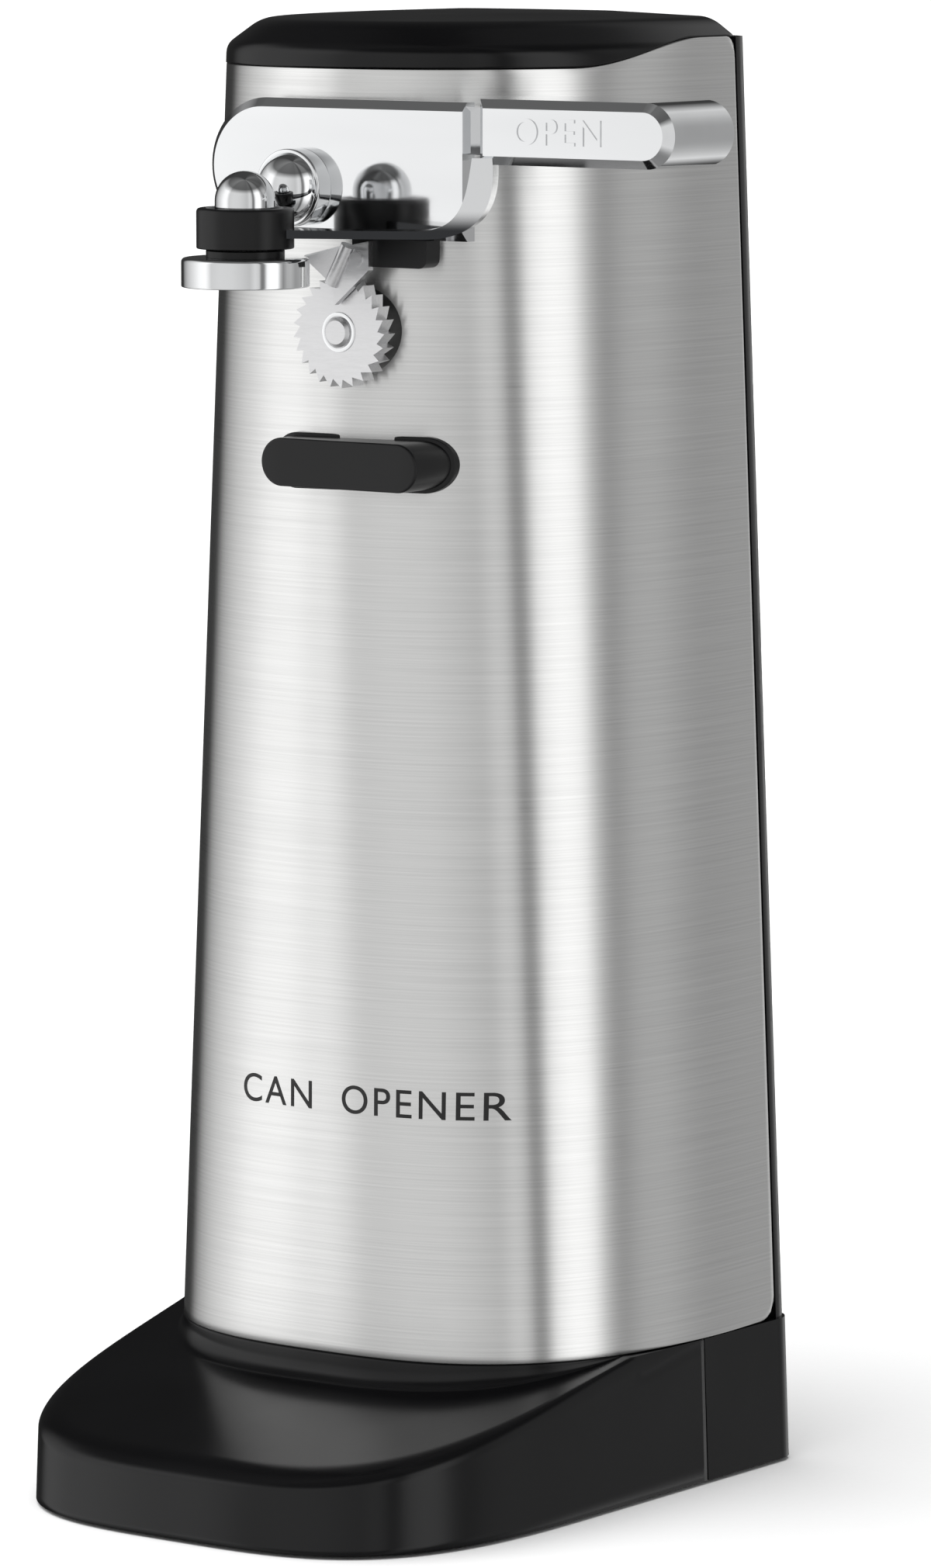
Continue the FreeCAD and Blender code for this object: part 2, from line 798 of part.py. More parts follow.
def make_drive_shaft():
    front = wheel_front_y - shaft_proud
    shaft = rod(drive_shaft_radius, drive_x, drive_z, front, rear_plate_end + 3.0)
    head_edge = [edge for edge in shaft.Edges if abs(edge.BoundBox.YMax - front) < 1e-6]
    shaft = shaft.makeChamfer(0.5, head_edge)
    groove = rod(drive_shaft_radius + 1, drive_x, drive_z, rear_plate_end + 1.0, rear_plate_end + 1.8)
    groove = groove.cut(rod(drive_shaft_radius - 0.5, drive_x, drive_z, -10, 10))
    return shaft.cut(groove)


def make_shaft_clip():
    clip = rod(drive_shaft_radius + 1.4, drive_x, drive_z, rear_plate_end + 1.02, rear_plate_end + 1.78)
    clip = clip.cut(rod(drive_shaft_radius - 0.45, drive_x, drive_z, -10, 10))
    return clip.cut(box(drive_x - 1.6, drive_x + 1.6, -10, 10, drive_z - 8, drive_z))


# ---------------------------------------------------------------- lever
def lever_plate_face():
    """Plate outline: one large round end on the left, small corners on the right."""
    r = (plate_top_z - plate_bottom_z) / 2
    mid_z = (plate_top_z + plate_bottom_z) / 2
    centre_x = plate_left_x + r
    right = neck_start_x + 1.0
    top = Part.makeLine(V(centre_x, plate_front_y, plate_top_z), V(right, plate_front_y, plate_top_z))
    side = Part.makeLine(V(right, plate_front_y, plate_top_z), V(right, plate_front_y, plate_bottom_z))
    low = Part.makeLine(V(right, plate_front_y, plate_bottom_z), V(centre_x, plate_front_y, plate_bottom_z))
    end = Part.Arc(V(centre_x, plate_front_y, plate_bottom_z), V(plate_left_x, plate_front_y, mid_z),
                   V(centre_x, plate_front_y, plate_top_z)).toShape()
    return Part.Face(Part.Wire([top, side, low, end]))


def front_edges(shape, y):
    return [edge for edge in shape.Edges
            if abs(edge.BoundBox.YMax - y) < 1e-6 and abs(edge.BoundBox.YMin - y) < 1e-6]


def make_lever():
    plate = lever_plate_face().extrude(V(0, plate_thick, 0))
    keep = [edge for edge in front_edges(plate, plate_front_y)
            if edge.BoundBox.XMin < neck_start_x + 0.5]
    plate = plate.makeChamfer(lever_chamfer, keep)
    height = handle_top_z - handle_bottom_z
    mid_z = (handle_top_z + handle_bottom_z) / 2
    length = handle_end_x - handle_start_x
    grip = stadium((handle_start_x + handle_end_x) / 2 - height / 4, mid_z, length + height / 2, height,
                   handle_front_y, handle_back_y)
    grip = grip.common(box(handle_start_x, 200, -100, 100, 0, 400))
    grip = grip.makeChamfer(lever_chamfer, front_edges(grip, handle_front_y))
    neck_points = [V(neck_start_x - 2, plate_front_y + lever_chamfer, 0),
                   V(neck_start_x, plate_front_y + lever_chamfer, 0),
                   V(handle_start_x + 0.5, handle_front_y + lever_chamfer, 0),
                   V(handle_start_x + 0.5, handle_back_y - 6, 0),
                   V(neck_start_x - 2, plate_front_y + plate_thick, 0)]
    neck = Part.Face(Part.makePolygon(neck_points + neck_points[:1])).extrude(V(0, 0, height - 2.8))
    neck.translate(V(0, 0, handle_bottom_z + 1.4))
    lever = fuse_all([plate, neck, grip])
    return lever.cut(rod(pivot_shaft_radius, pivot_x, pivot_z, -80, 0)).removeSplitter()


def make_pivot_shaft():
    """Turns with the lever; runs in the bush and carries the switch cam."""
    return rod(pivot_shaft_radius, pivot_x, pivot_z, plate_front_y - 0.5, cam_y + cam_width)


def make_pivot_knob():
    """A polished domed nut on the lever's face."""
    flange = rod(knob_radius, pivot_x, pivot_z, plate_front_y - knob_length, plate_front_y)
    front = plate_front_y - knob_length
    ball_r = (knob_dome ** 2 + (knob_radius - knob_step) ** 2) / (2 * knob_dome)
    dome = Part.makeSphere(ball_r, V(pivot_x, front - knob_dome + ball_r, pivot_z))
    dome = dome.common(box(-100, 100, -100, front, 0, 400))
    knob = flange.fuse(dome)
    return knob.cut(rod(pivot_shaft_radius, pivot_x, pivot_z, plate_front_y - 0.5, 0)).removeSplitter()


def make_pivot_bush():
    front = plate_front_y + plate_thick + friction_washer_thick + part_gap
    outer = rod(pivot_bush_radius, pivot_x, pivot_z, front, frame_post_end_y)
    collar = rod(pivot_bush_radius + 1.8, pivot_x, pivot_z, front, 0)
    collar = collar.cut(skin_surface)
    bore = rod(pivot_shaft_radius + running_clearance, pivot_x, pivot_z, -far, 0)
    return outer.fuse(collar).cut(bore).removeSplitter()


def make_friction_washer():
    """A wave washer that holds the lever where it is left."""
    y0 = plate_front_y + plate_thick
    washer = rod(friction_washer_radius, pivot_x, pivot_z, y0, y0 + friction_washer_thick)
    return washer.cut(rod(pivot_shaft_radius, pivot_x, pivot_z, -far, 0))


def cam_centre():
    return polar(pivot_x, pivot_z, cam_offset, cam_rest_deg)


def make_switch_cam():
    x, z = cam_centre()
    return rod(cam_radius, x, z, cam_y, cam_y + cam_width).cut(
        rod(pivot_shaft_radius, pivot_x, pivot_z, -far, 0))


# ---------------------------------------------------------------- blade


def make_blade_carrier():
    """Black block screwed up under the plate; its lower right corner is rounded."""
    low = carrier_top_z - carrier_height
    back_y = plate_front_y + plate_thick - 0.4
    r = carrier_corner
    right = carrier_right_x
    corner = Part.Arc(V(right, carrier_front_y, low + r),
                      V(right - r * (1 - math.sqrt(0.5)), carrier_front_y, low + r * (1 - math.sqrt(0.5))),
                      V(right - r, carrier_front_y, low)).toShape()
    edges = [Part.makeLine(V(carrier_left_x, carrier_front_y, carrier_top_z),
                           V(right, carrier_front_y, carrier_top_z)),
             Part.makeLine(V(right, carrier_front_y, carrier_top_z), V(right, carrier_front_y, low + r)),
             corner,
             Part.makeLine(V(right - r, carrier_front_y, low), V(carrier_left_x, carrier_front_y, low)),
             Part.makeLine(V(carrier_left_x, carrier_front_y, low),
                           V(carrier_left_x, carrier_front_y, carrier_top_z))]
    body = Part.Face(Part.Wire(edges)).extrude(V(0, back_y - carrier_front_y, 0))
    return body.cut(rod(blade_rivet_radius, blade_pin_x, blade_pin_z, -far, 0))


def make_blade():
    """Spear blade: a flat web and a wing bent forward along a slanting line, with a rounded fold."""
    y0 = carrier_front_y - blade_thick
    outline = [(blade_right_x, carrier_top_z - part_gap), (blade_right_x, blade_low_right_z), blade_tip,
               blade_bend_low, blade_bend_top]
    points = [V(x, y0, z) for x, z in outline]
    web = Part.Face(Part.makePolygon(points + points[:1])).extrude(V(0, blade_thick, 0))
    bend = V(blade_bend_top[0] - blade_bend_low[0], 0, blade_bend_top[1] - blade_bend_low[1])
    wing_points = [V(blade_bend_low[0], y0, blade_bend_low[1]), V(blade_wing[0], y0, blade_wing[1]),
                   V(blade_bend_top[0] - 1.0, y0, blade_bend_top[1] - 0.2),
                   V(blade_bend_top[0], y0, blade_bend_top[1])]
    wing = Part.Face(Part.makePolygon(wing_points + wing_points[:1])).extrude(V(0, blade_thick, 0))
    wing.rotate(V(blade_bend_low[0], y0, blade_bend_low[1]), bend.normalize(), blade_bend_deg)
    run = math.hypot(blade_bend_top[0] - blade_bend_low[0], blade_bend_top[1] - blade_bend_low[1])
    fold = Part.makeCylinder(blade_thick, run, V(blade_bend_low[0], y0, blade_bend_low[1]), bend)
    blade = fuse_all([web, wing, fold])
    return blade.cut(rod(blade_rivet_radius, blade_pin_x, blade_pin_z, -far, 0))


def make_blade_rivet():
    y0 = carrier_front_y - blade_thick
    shank = rod(blade_rivet_radius, blade_pin_x, blade_pin_z, y0, carrier_front_y + 3.0)
    head = rod(blade_rivet_radius + blade_rivet_head, blade_pin_x, blade_pin_z, y0 - blade_rivet_head, y0)
    return shank.fuse(head)


# ---------------------------------------------------------------- magnet
def make_magnet_arm():
    """A strip in an upright plane from the handle's neck to the holder: an S, then level."""
    run_x = magnet_x - arm_root_x
    run_y = magnet_y - arm_root_y
    run = math.hypot(run_x, run_y)
    ahead = V(run_x / run, run_y / run, 0)
    side = V(-ahead.y, ahead.x, 0)
    level = arm_level_z
    drop = arm_root_z - level
    end = run - holder_radius + 0.8

    def at(s, z):
        return V(arm_root_x, arm_root_y, 0) + ahead * s + V(0, 0, z) - side * (arm_strip_width / 2)

    half = arm_neck_thick / 2
    thin = arm_strip_thick / 2
    outer = Part.BezierCurve()
    outer.setPoles([at(half, level + drop), at(half + 1.0, level + drop * 0.45),
                    at(half + 1.6, level + thin), at(half + 9.0, level + thin)])
    inner = Part.BezierCurve()
    inner.setPoles([at(half + 9.0, level - thin), at(half - 0.6, level - thin - 0.3),
                    at(-half - 0.8, level + drop * 0.3), at(-half, level + drop)])
    edges = [outer.toShape(),
             Part.makeLine(at(half + 9.0, level + thin), at(end, level + thin)),
             Part.makeLine(at(end, level + thin), at(end, level - thin)),
             Part.makeLine(at(end, level - thin), at(half + 9.0, level - thin)),
             inner.toShape(),
             Part.makeLine(at(-half, level + drop), at(half, level + drop))]
    strip = Part.Face(Part.Wire(edges)).extrude(side * arm_strip_width)
    return strip.cut(make_lever())


def make_magnet_holder():
    top = holder_bottom_z + holder_height
    holder = post(holder_radius, magnet_x, magnet_y, holder_bottom_z, top)
    rim = [edge for edge in holder.Edges if abs(edge.BoundBox.ZMin - top) < 1e-6]
    holder = holder.makeFillet(0.6, rim)
    recess_top = magnet_cup_top_z + collar_height + magnet_float + collar_gap
    holder = holder.cut(post(collar_radius + collar_gap, magnet_x, magnet_y, 0, recess_top))
    holder = holder.cut(post(rivet_radius + running_clearance, magnet_x, magnet_y, 0, total_height))
    return holder.cut(make_magnet_arm())


def make_magnet_cup():
    """A shallow cup, open downwards, that carries the magnet; its collar rises into the holder."""
    low = magnet_cup_top_z - magnet_cup_height
    cup = post(magnet_cup_radius, magnet_x, magnet_y, low, magnet_cup_top_z)
    rim = [edge for edge in cup.Edges if abs(edge.BoundBox.ZMin - magnet_cup_top_z) < 1e-6]
    cup = cup.makeFillet(0.7, rim)
    inside = post(magnet_cup_radius - magnet_cup_wall, magnet_x, magnet_y, low - 1,
                  magnet_cup_top_z - magnet_cup_wall)
    collar = post(collar_radius, magnet_x, magnet_y, magnet_cup_top_z, magnet_cup_top_z + collar_height)
    cup = cup.cut(inside).fuse(collar)
    return cup.cut(post(rivet_radius, magnet_x, magnet_y, 0, total_height))


def make_ring_magnet():
    low = magnet_cup_top_z - magnet_cup_height + 0.3
    ring = post(magnet_cup_radius - magnet_cup_wall - 0.1, magnet_x, magnet_y, low,
                magnet_cup_top_z - magnet_cup_wall)
    return ring.cut(post(rivet_radius, magnet_x, magnet_y, 0, total_height))


def make_dome_rivet():
    """Polished dome on the holder, its shank passing down to the cup."""
    top = holder_bottom_z + holder_height
    low = magnet_cup_top_z - magnet_cup_height + 0.8
    shank = post(rivet_radius, magnet_x, magnet_y, low, top + 0.1)
    skirt = post(dome_radius, magnet_x, magnet_y, top + 0.02, top + dome_height - dome_radius)
    ball = Part.makeSphere(dome_radius, V(magnet_x, magnet_y, top + dome_height - dome_radius))
    ball = ball.common(box(-100, 100, -100, 100, top + dome_height - dome_radius, 400))
    return fuse_all([shank, skirt, ball])


# ---------------------------------------------------------------- gear train
def make_output_gear():
    phase = output_to_middle_deg
    shape = gear(output_teeth, output_module, plane_a_width, phase, *output_centre, plane_a_y)
    return shape.cut(rod(drive_shaft_radius, drive_x, drive_z, -far, 0))


def make_middle_gear():
    x, z = middle_centre
    small_phase = output_to_middle_deg + 180 + half_tooth(output_pinion_teeth)
    small = gear(output_pinion_teeth, output_module, plane_b_y - plane_a_y + 0.3, small_phase, x, z,
                 plane_a_y - 0.3)
    large = gear(middle_teeth, middle_module, plane_b_width, middle_to_first_deg, x, z, plane_b_y)
    shape = small.fuse(large)
    return shape.cut(rod(idler_pin_radius + running_clearance, x, z, -far, 0)).removeSplitter()


def make_first_gear():
    x, z = first_centre
    small_phase = middle_to_first_deg + 180 + half_tooth(middle_pinion_teeth)
    small = gear(middle_pinion_teeth, middle_module, plane_c_y - plane_b_y + 0.3, small_phase, x, z,
                 plane_b_y - 0.3)
    large = gear(first_teeth, first_module, plane_c_width, first_to_motor_deg, x, z, plane_c_y)
    shape = small.fuse(large)
    return shape.cut(rod(idler_pin_radius + running_clearance, x, z, -far, 0)).removeSplitter()


def make_motor_pinion():
    x, z = motor_centre
    phase = first_to_motor_deg + 180 + half_tooth(motor_pinion_teeth)
    shape = gear(motor_pinion_teeth, first_module, plane_c_width + 0.6, phase, x, z, plane_c_y - 0.3)
    return shape.cut(rod(motor_shaft_radius, x, z, -far, far))


def make_idler_pin(centre):
    x, z = centre
    return rod(idler_pin_radius, x, z, front_plate_y, rear_plate_end)


def gear_post_places():
    """Posts that space the two gear plates, each beside the gears."""
    half = gear_plate_width / 2 - 5
    between = (middle_centre[1] + first_centre[1]) / 2
    return [(-half, drive_z - 2.5), (half + 2, between + 0.8), (-half, first_centre[1] - 7.0),
            (half, first_centre[1] - 15.5)]


def make_gear_plate(y):
    half = gear_plate_width / 2
    plate = box(-half, half, y, y + gear_plate_thick, gear_plate_low, gear_plate_high)
    bores = [rod(drive_shaft_radius + running_clearance, drive_x, drive_z, -far, far)]
    for x, z in (middle_centre, first_centre):
        bores.append(rod(idler_pin_radius, x, z, -far, far))
    bores.append(rod(motor_shaft_radius + 1.0, *motor_centre, -far, far))
    bores += [rod(screw_radius, x, z, -far, far) for x, z in gear_post_places()]
    if y == front_plate_y:
        bores += [rod(screw_radius + 0.2, x, z, -far, far) for x, z in gear_boss_places()]
    return plate.cut(Part.Compound(bores))


def make_gear_posts():
    posts = []
    for x, z in gear_post_places():
        posts.append(rod(2.2, x, z, front_plate_end, rear_plate_y).cut(rod(1.2, x, z, -far, far)))
    return Part.Compound(posts)


def make_gear_post_screws():
    screws = []
    for x, z in gear_post_places():
        head = rod(screw_head_radius, x, z, rear_plate_end, rear_plate_end + screw_head_height)
        neck = rod(screw_radius, x, z, rear_plate_y, rear_plate_end)
        thread = rod(1.2, x, z, rear_plate_y - 7, rear_plate_y)
        screws.append(fuse_all([head, neck, thread]))
    return Part.Compound(screws)


def make_gear_plate_screws():
    screws = []
    for x, z in gear_boss_places():
        head = rod(screw_head_radius, x, z, front_plate_end, front_plate_end + 1.2)
        neck = rod(screw_radius, x, z, front_plate_y, front_plate_end)
        thread = rod(screw_radius * 0.85, x, z, front_plate_y - 4, front_plate_y)
        screws.append(fuse_all([head, neck, thread]))
    return Part.Compound(screws)


# ---------------------------------------------------------------- motor
motor_x, motor_z = motor_centre
core_back_y = core_front_y + core_depth
core_low = motor_z - core_below
limb_top = core_low + limb_height
window_top = limb_top + window_height
half_core = core_width / 2
motor_screw_x = half_core - 5


def make_motor_core():
    core = box(motor_x - half_core, motor_x + half_core, core_front_y, core_back_y, core_low,
               motor_z + core_above)
    window = box(motor_x - half_core + 10, motor_x + half_core - 10, core_front_y - 1, core_back_y + 1,
                 limb_top, window_top)
    bore = rod(rotor_radius + air_gap, motor_x, motor_z, core_front_y - 1, core_back_y + 1)
    holes = [rod(screw_radius, motor_x + sx * motor_screw_x, motor_z, -far, far) for sx in (-1, 1)]
    rings = [shading_slot(side) for side in (-1, 1)]
    return core.cut(Part.Compound([window, bore] + holes)).cut(Part.Compound(rings))


def shading_slot(side):
    """Slot that holds one shading ring beside the rotor's bore."""
    x = motor_x + side * (rotor_radius + air_gap + 1.7)
    return box(x - 0.8, x + 0.8, core_front_y - 1, core_back_y + 1, motor_z + side * 6 - 0.8 + 3,
               motor_z + side * 6 + 0.8 + 3)


def make_shading_rings():
    rings = []
    for side in (-1, 1):
        x = motor_x + side * (rotor_radius + air_gap + 1.7)
        z = motor_z + side * 6 + 3
        rings.append(box(x - 0.75, x + 0.75, core_front_y, core_back_y, z - 0.75, z + 0.75))
    return Part.Compound(rings)


def make_bobbin():
    half = coil_width / 2 - 1.2
    gap = 0.15
    tube = box(motor_x - half, motor_x + half, core_front_y - 1.2, core_back_y + 1.2,
               core_low - 1.2, limb_top + 1.2)
    flanges = []
    for sx in (-1, 1):
        x0 = motor_x + sx * half
        x1 = motor_x + sx * (half + 1.2)
        flanges.append(box(min(x0, x1), max(x0, x1), core_front_y - coil_build - 0.8,
                           core_back_y + coil_build + 0.8, core_low - coil_build - 0.8,
                           window_top - 0.4))
    hollow = box(-90, 90, core_front_y - gap, core_back_y + gap, core_low - gap, limb_top + gap)
    return fuse_all([tube] + flanges).cut(hollow)


def make_winding():
    half = coil_width / 2 - 1.3
    outer = box(motor_x - half, motor_x + half, core_front_y - coil_build, core_back_y + coil_build,
                core_low - coil_build, window_top - 1.0)
    round_edges = [edge for edge in outer.Edges if edge.BoundBox.XLength > 5]
    outer = outer.makeFillet(3.0, round_edges)
    hollow = box(-90, 90, core_front_y - 1.3, core_back_y + 1.3, core_low - 1.3, limb_top + 1.3)
    return outer.cut(hollow)


def make_rotor():
    rotor = rod(rotor_radius, motor_x, motor_z, core_front_y, core_back_y)
    return rotor.cut(rod(motor_shaft_radius, motor_x, motor_z, -far, far))


def make_motor_shaft():
    return rod(motor_shaft_radius, motor_x, motor_z, plane_c_y - 0.6, core_back_y + 7)


def make_bracket(y):
    half = bracket_height / 2
    bar = box(motor_x - half_core, motor_x + half_core, y, y + bracket_thick, motor_z - half,
              motor_z + half)
    bar = bar.cut(rod(4.5, motor_x, motor_z, -far, far))
    return bar.cut(Part.Compound([rod(screw_radius, motor_x + sx * motor_screw_x, motor_z, -far, far)
                                  for sx in (-1, 1)]))


def make_motor_bush(y):
    bush = rod(4.5, motor_x, motor_z, y, y + bracket_thick)
    return bush.cut(rod(motor_shaft_radius + running_clearance, motor_x, motor_z, -far, far))


def make_motor_bushes():
    return Part.Compound([make_motor_bush(rear_plate_end + bracket_gap), make_motor_bush(core_back_y)])


def make_motor_screws():
    screws = []
    for sx in (-1, 1):
        x = motor_x + sx * motor_screw_x
        shank = rod(screw_radius, x, motor_z, rear_plate_end, core_back_y + bracket_thick)
        head = rod(screw_head_radius, x, motor_z, core_back_y + bracket_thick,
                   core_back_y + bracket_thick + screw_head_height)
        screws.append(shank.fuse(head).removeSplitter())
    return Part.Compound(screws)


# ---------------------------------------------------------------- switch and inlet
def plunger_low_z():
    return cam_centre()[1] + cam_radius + cam_clearance


def make_plunger():
    y = cam_y + cam_width / 2
    return post(plunger_radius, pivot_x, y, plunger_low_z(), switch_z + 2.0)


def make_switch_body():
    y = cam_y + cam_width / 2
    body = box(pivot_x - switch_width / 2 + 4, pivot_x + switch_width / 2 + 4, y - switch_depth / 2,
               y + switch_depth / 2, switch_z, switch_z + switch_height)
    return body.cut(post(plunger_radius + 0.1, pivot_x, y, switch_z - 1, switch_z + 4.5))


def make_switch_bracket():
    """Angle plate that hangs the switch from the inner frame's top edge."""
    y = cam_y + cam_width / 2 + switch_depth / 2
    plate = box(-30, 30, y, y + 1.5, switch_z + 1, switch_z + switch_height)
    return plate.common(front_solid(frame_low, frame_high + 2, steel_wall + skin_gap + plastic_wall, 0.0))


def make_gland():
    """Inlet grommet in the rear base band."""
    y = edge_y_bottom + back_depth
    grommet = rod(gland_radius, 0, gland_z, y - 4.6, y + 1.2)
    lip = rod(gland_radius + 1.6, 0, gland_z, y + 0.5, y + 2.2)
    inner_lip = rod(gland_radius + 1.6, 0, gland_z, y - 4.6, y - 3.0)
    return fuse_all([grommet, lip, inner_lip]).cut(rod(cord_radius, 0, gland_z, 0, 90))


def make_terminal_block():
    body = box(-14, 14, 10, 20, 10, 18)
    screws = [post(1.8, x, 15, 15, 20) for x in (-8, 0, 8)]
    return body.cut(Part.Compound(screws))


# ---------------------------------------------------------------- write the parts
def build():
    base = base_shell(plinth_height + 1)
    parts = {
        "steel_wrap": make_steel_wrap(),
        "inner_frame": make_inner_frame(),
        "front_base": make_front_base(base),
        "rear_cover": make_rear_cover(base),
        "top_cap": make_top_cap(),
        "base_plate": make_base_plate(),
        "foot_ring": make_foot_ring(),
        "base_screws": make_base_screws(),
        "cover_screws": make_cover_screws(),
        "sharpener_guide": make_sharpener_guide(),
        "sharpener_stone_left": make_stone(-1),
        "sharpener_stone_right": make_stone(1),
        "bottle_opener": make_bottle_opener(),
        "opener_rivets": make_opener_rivets(),
        "cord_gland": make_gland(),
        "terminal_block": make_terminal_block(),
        "guide_post": make_guide_post(),
        "guide_screws": make_guide_screws(),
        "wheel_boss": make_wheel_boss(),
        "drive_wheel": make_drive_wheel(),
        "drive_shaft": make_drive_shaft(),
        "shaft_clip": make_shaft_clip(),
        "output_gear": make_output_gear(),
        "middle_gear": make_middle_gear(),
        "first_gear": make_first_gear(),
        "middle_gear_pin": make_idler_pin(middle_centre),
        "first_gear_pin": make_idler_pin(first_centre),
        "motor_pinion": make_motor_pinion(),
        "front_gear_plate": make_gear_plate(front_plate_y),
        "rear_gear_plate": make_gear_plate(rear_plate_y),
        "gear_posts": make_gear_posts(),
        "gear_post_screws": make_gear_post_screws(),
        "gear_plate_screws": make_gear_plate_screws(),
        "motor_core": make_motor_core(),
        "shading_rings": make_shading_rings(),
        "coil_bobbin": make_bobbin(),
        "coil_winding": make_winding(),
        "rotor": make_rotor(),
        "motor_shaft": make_motor_shaft(),
        "front_bracket": make_bracket(rear_plate_end + bracket_gap),
        "rear_bracket": make_bracket(core_back_y),
        "motor_bushes": make_motor_bushes(),
        "motor_screws": make_motor_screws(),
        "switch_body": make_switch_body(),
        "switch_plunger": make_plunger(),
        "switch_bracket": make_switch_bracket(),
        "lever": make_lever(),
        "pivot_shaft": make_pivot_shaft(),
        "pivot_knob": make_pivot_knob(),
        "pivot_bush": make_pivot_bush(),
        "friction_washer": make_friction_washer(),
        "switch_cam": make_switch_cam(),
        "blade_carrier": make_blade_carrier(),
        "blade": make_blade(),
        "blade_rivet": make_blade_rivet(),
        "magnet_arm": make_magnet_arm(),
        "magnet_holder": make_magnet_holder(),
        "magnet_cup": make_magnet_cup(),
        "ring_magnet": make_ring_magnet(),
        "dome_rivet": make_dome_rivet(),
    }
    os.makedirs("parts", exist_ok=True)
    for name, shape in parts.items():
        shape.exportStep("parts/" + name + ".step")
        box_size = shape.BoundBox
        print(f"{name:22s} solids {len(shape.Solids)} valid {shape.isValid()} volume {shape.Volume:9.1f} "
              f"x {box_size.XMin:7.2f} {box_size.XMax:7.2f} y {box_size.YMin:7.2f} {box_size.YMax:7.2f} "
              f"z {box_size.ZMin:7.2f} {box_size.ZMax:7.2f}")


build()
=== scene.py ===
"""Looks of the electric can opener: a brushed steel housing on a black foot, with a polished lifting lever.

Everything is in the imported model's own frame, in metres: +Z up, the front faces -Y, +X to the right.
The shape's sizes stand at the top, in millimetres; the smaller ones are settings of the panel.
"""
import json

import bmesh
import bpy
import numpy as np
from mathutils import Matrix, Vector


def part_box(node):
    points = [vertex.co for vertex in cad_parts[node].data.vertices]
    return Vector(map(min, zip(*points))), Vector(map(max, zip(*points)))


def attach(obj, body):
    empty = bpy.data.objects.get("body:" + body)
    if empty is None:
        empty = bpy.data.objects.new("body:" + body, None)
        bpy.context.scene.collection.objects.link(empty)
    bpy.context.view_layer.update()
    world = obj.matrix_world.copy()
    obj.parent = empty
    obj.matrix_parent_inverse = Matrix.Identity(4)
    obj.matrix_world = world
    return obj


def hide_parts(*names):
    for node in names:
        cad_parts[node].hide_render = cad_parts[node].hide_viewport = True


bl_info = {
    "name": "Can opener looks",
    "version": (1, 0, 0),
    "blender": (4, 5, 0),
    "location": "3D View > Sidebar > Can opener",
    "description": "Builds the skins, fittings and finishes of an electric can opener round its CAD frame",
    "category": "Object",
}

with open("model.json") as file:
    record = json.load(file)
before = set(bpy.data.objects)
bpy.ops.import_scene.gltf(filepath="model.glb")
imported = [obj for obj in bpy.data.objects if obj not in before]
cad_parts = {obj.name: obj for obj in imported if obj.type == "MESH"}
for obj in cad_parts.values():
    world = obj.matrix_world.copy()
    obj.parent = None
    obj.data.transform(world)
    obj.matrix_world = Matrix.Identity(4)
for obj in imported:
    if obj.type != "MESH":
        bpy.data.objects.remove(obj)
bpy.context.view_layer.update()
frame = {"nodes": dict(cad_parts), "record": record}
MM = 0.001

# ---------------------------------------------------------------- shape of the housing, in millimetres
PLINTH_TOP = 24.25
CAP_LINE = 232.0
TOTAL_HEIGHT = 240.0
HALF_WIDTH = (47.4, 39.9)
DEPTH = (64.6, 60.4)
POWER = (2.87, 2.36)
EDGE_Y = (34.0, 31.7)
BACK_DEPTH = 9.5
BACK_POWER = 3.0
CAP_PROFILE = [(-0.1, 228.0), (-0.1, 235.0), (5.4, 239.3), (24.0, TOTAL_HEIGHT)]
CAP_PROUD = 0.1
CAP_RISE = 4.3
CAP_RISE_Y = (-6.0, 22.0)

# shape of the base, in millimetres
BASE_LOW = 0.6
BASE_TOP = 24.15
BASE_HALF_FRONT = 46.1
BASE_HALF_BACK = 48.85
BASE_WIDE_Y = -13.7
BASE_REACH = 56.05
BASE_POWER = 3.4
BASE_DRAFT = 0.9
BASE_SEAM_Y = 13.15
FOOT_RIM = 12.6
FOOT_SLOPE_DEG = 10.2

# how far the polished dome is let into the holder
DOME_SUNK = 0.4

# places read from the CAD nodes, in metres
WHEEL_LOW, WHEEL_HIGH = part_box("drive_wheel")
GUIDE_LOW, GUIDE_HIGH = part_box("guide_post")
BOSS_LOW, BOSS_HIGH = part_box("wheel_boss")
CUP_LOW, CUP_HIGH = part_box("magnet_cup")
HOLDER_LOW, HOLDER_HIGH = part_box("magnet_holder")
DOME_LOW, DOME_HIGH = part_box("dome_rivet")
KNOB_LOW, KNOB_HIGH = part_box("pivot_knob")
SHAFT_LOW, SHAFT_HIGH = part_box("drive_shaft")
LEVER_LOW, LEVER_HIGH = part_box("lever")


# ---------------------------------------------------------------- settings
def srgb(code):
    """Linear red, green and blue of an sRGB hex colour: each channel over 255, then the sRGB curve undone."""
    channels = np.array([int(code[i:i + 2], 16) for i in (1, 3, 5)]) / 255
    low = channels / 12.92
    high = ((channels + 0.055) / 1.055) ** 2.4
    return tuple(float(v) for v in np.where(channels <= 0.04045, low, high))


def length(name, text, size_mm):
    """A length setting, given in millimetres and kept in metres."""
    return bpy.props.FloatProperty(name=name, description=text, default=size_mm * MM, precision=5,
                                   subtype="DISTANCE", unit="LENGTH")


def colour(name, text, code):
    """A colour setting, given as an sRGB hex value and kept linear."""
    return bpy.props.FloatVectorProperty(name=name, description=text, default=srgb(code), size=3,
                                         subtype="COLOR", min=0.0, max=1.0)


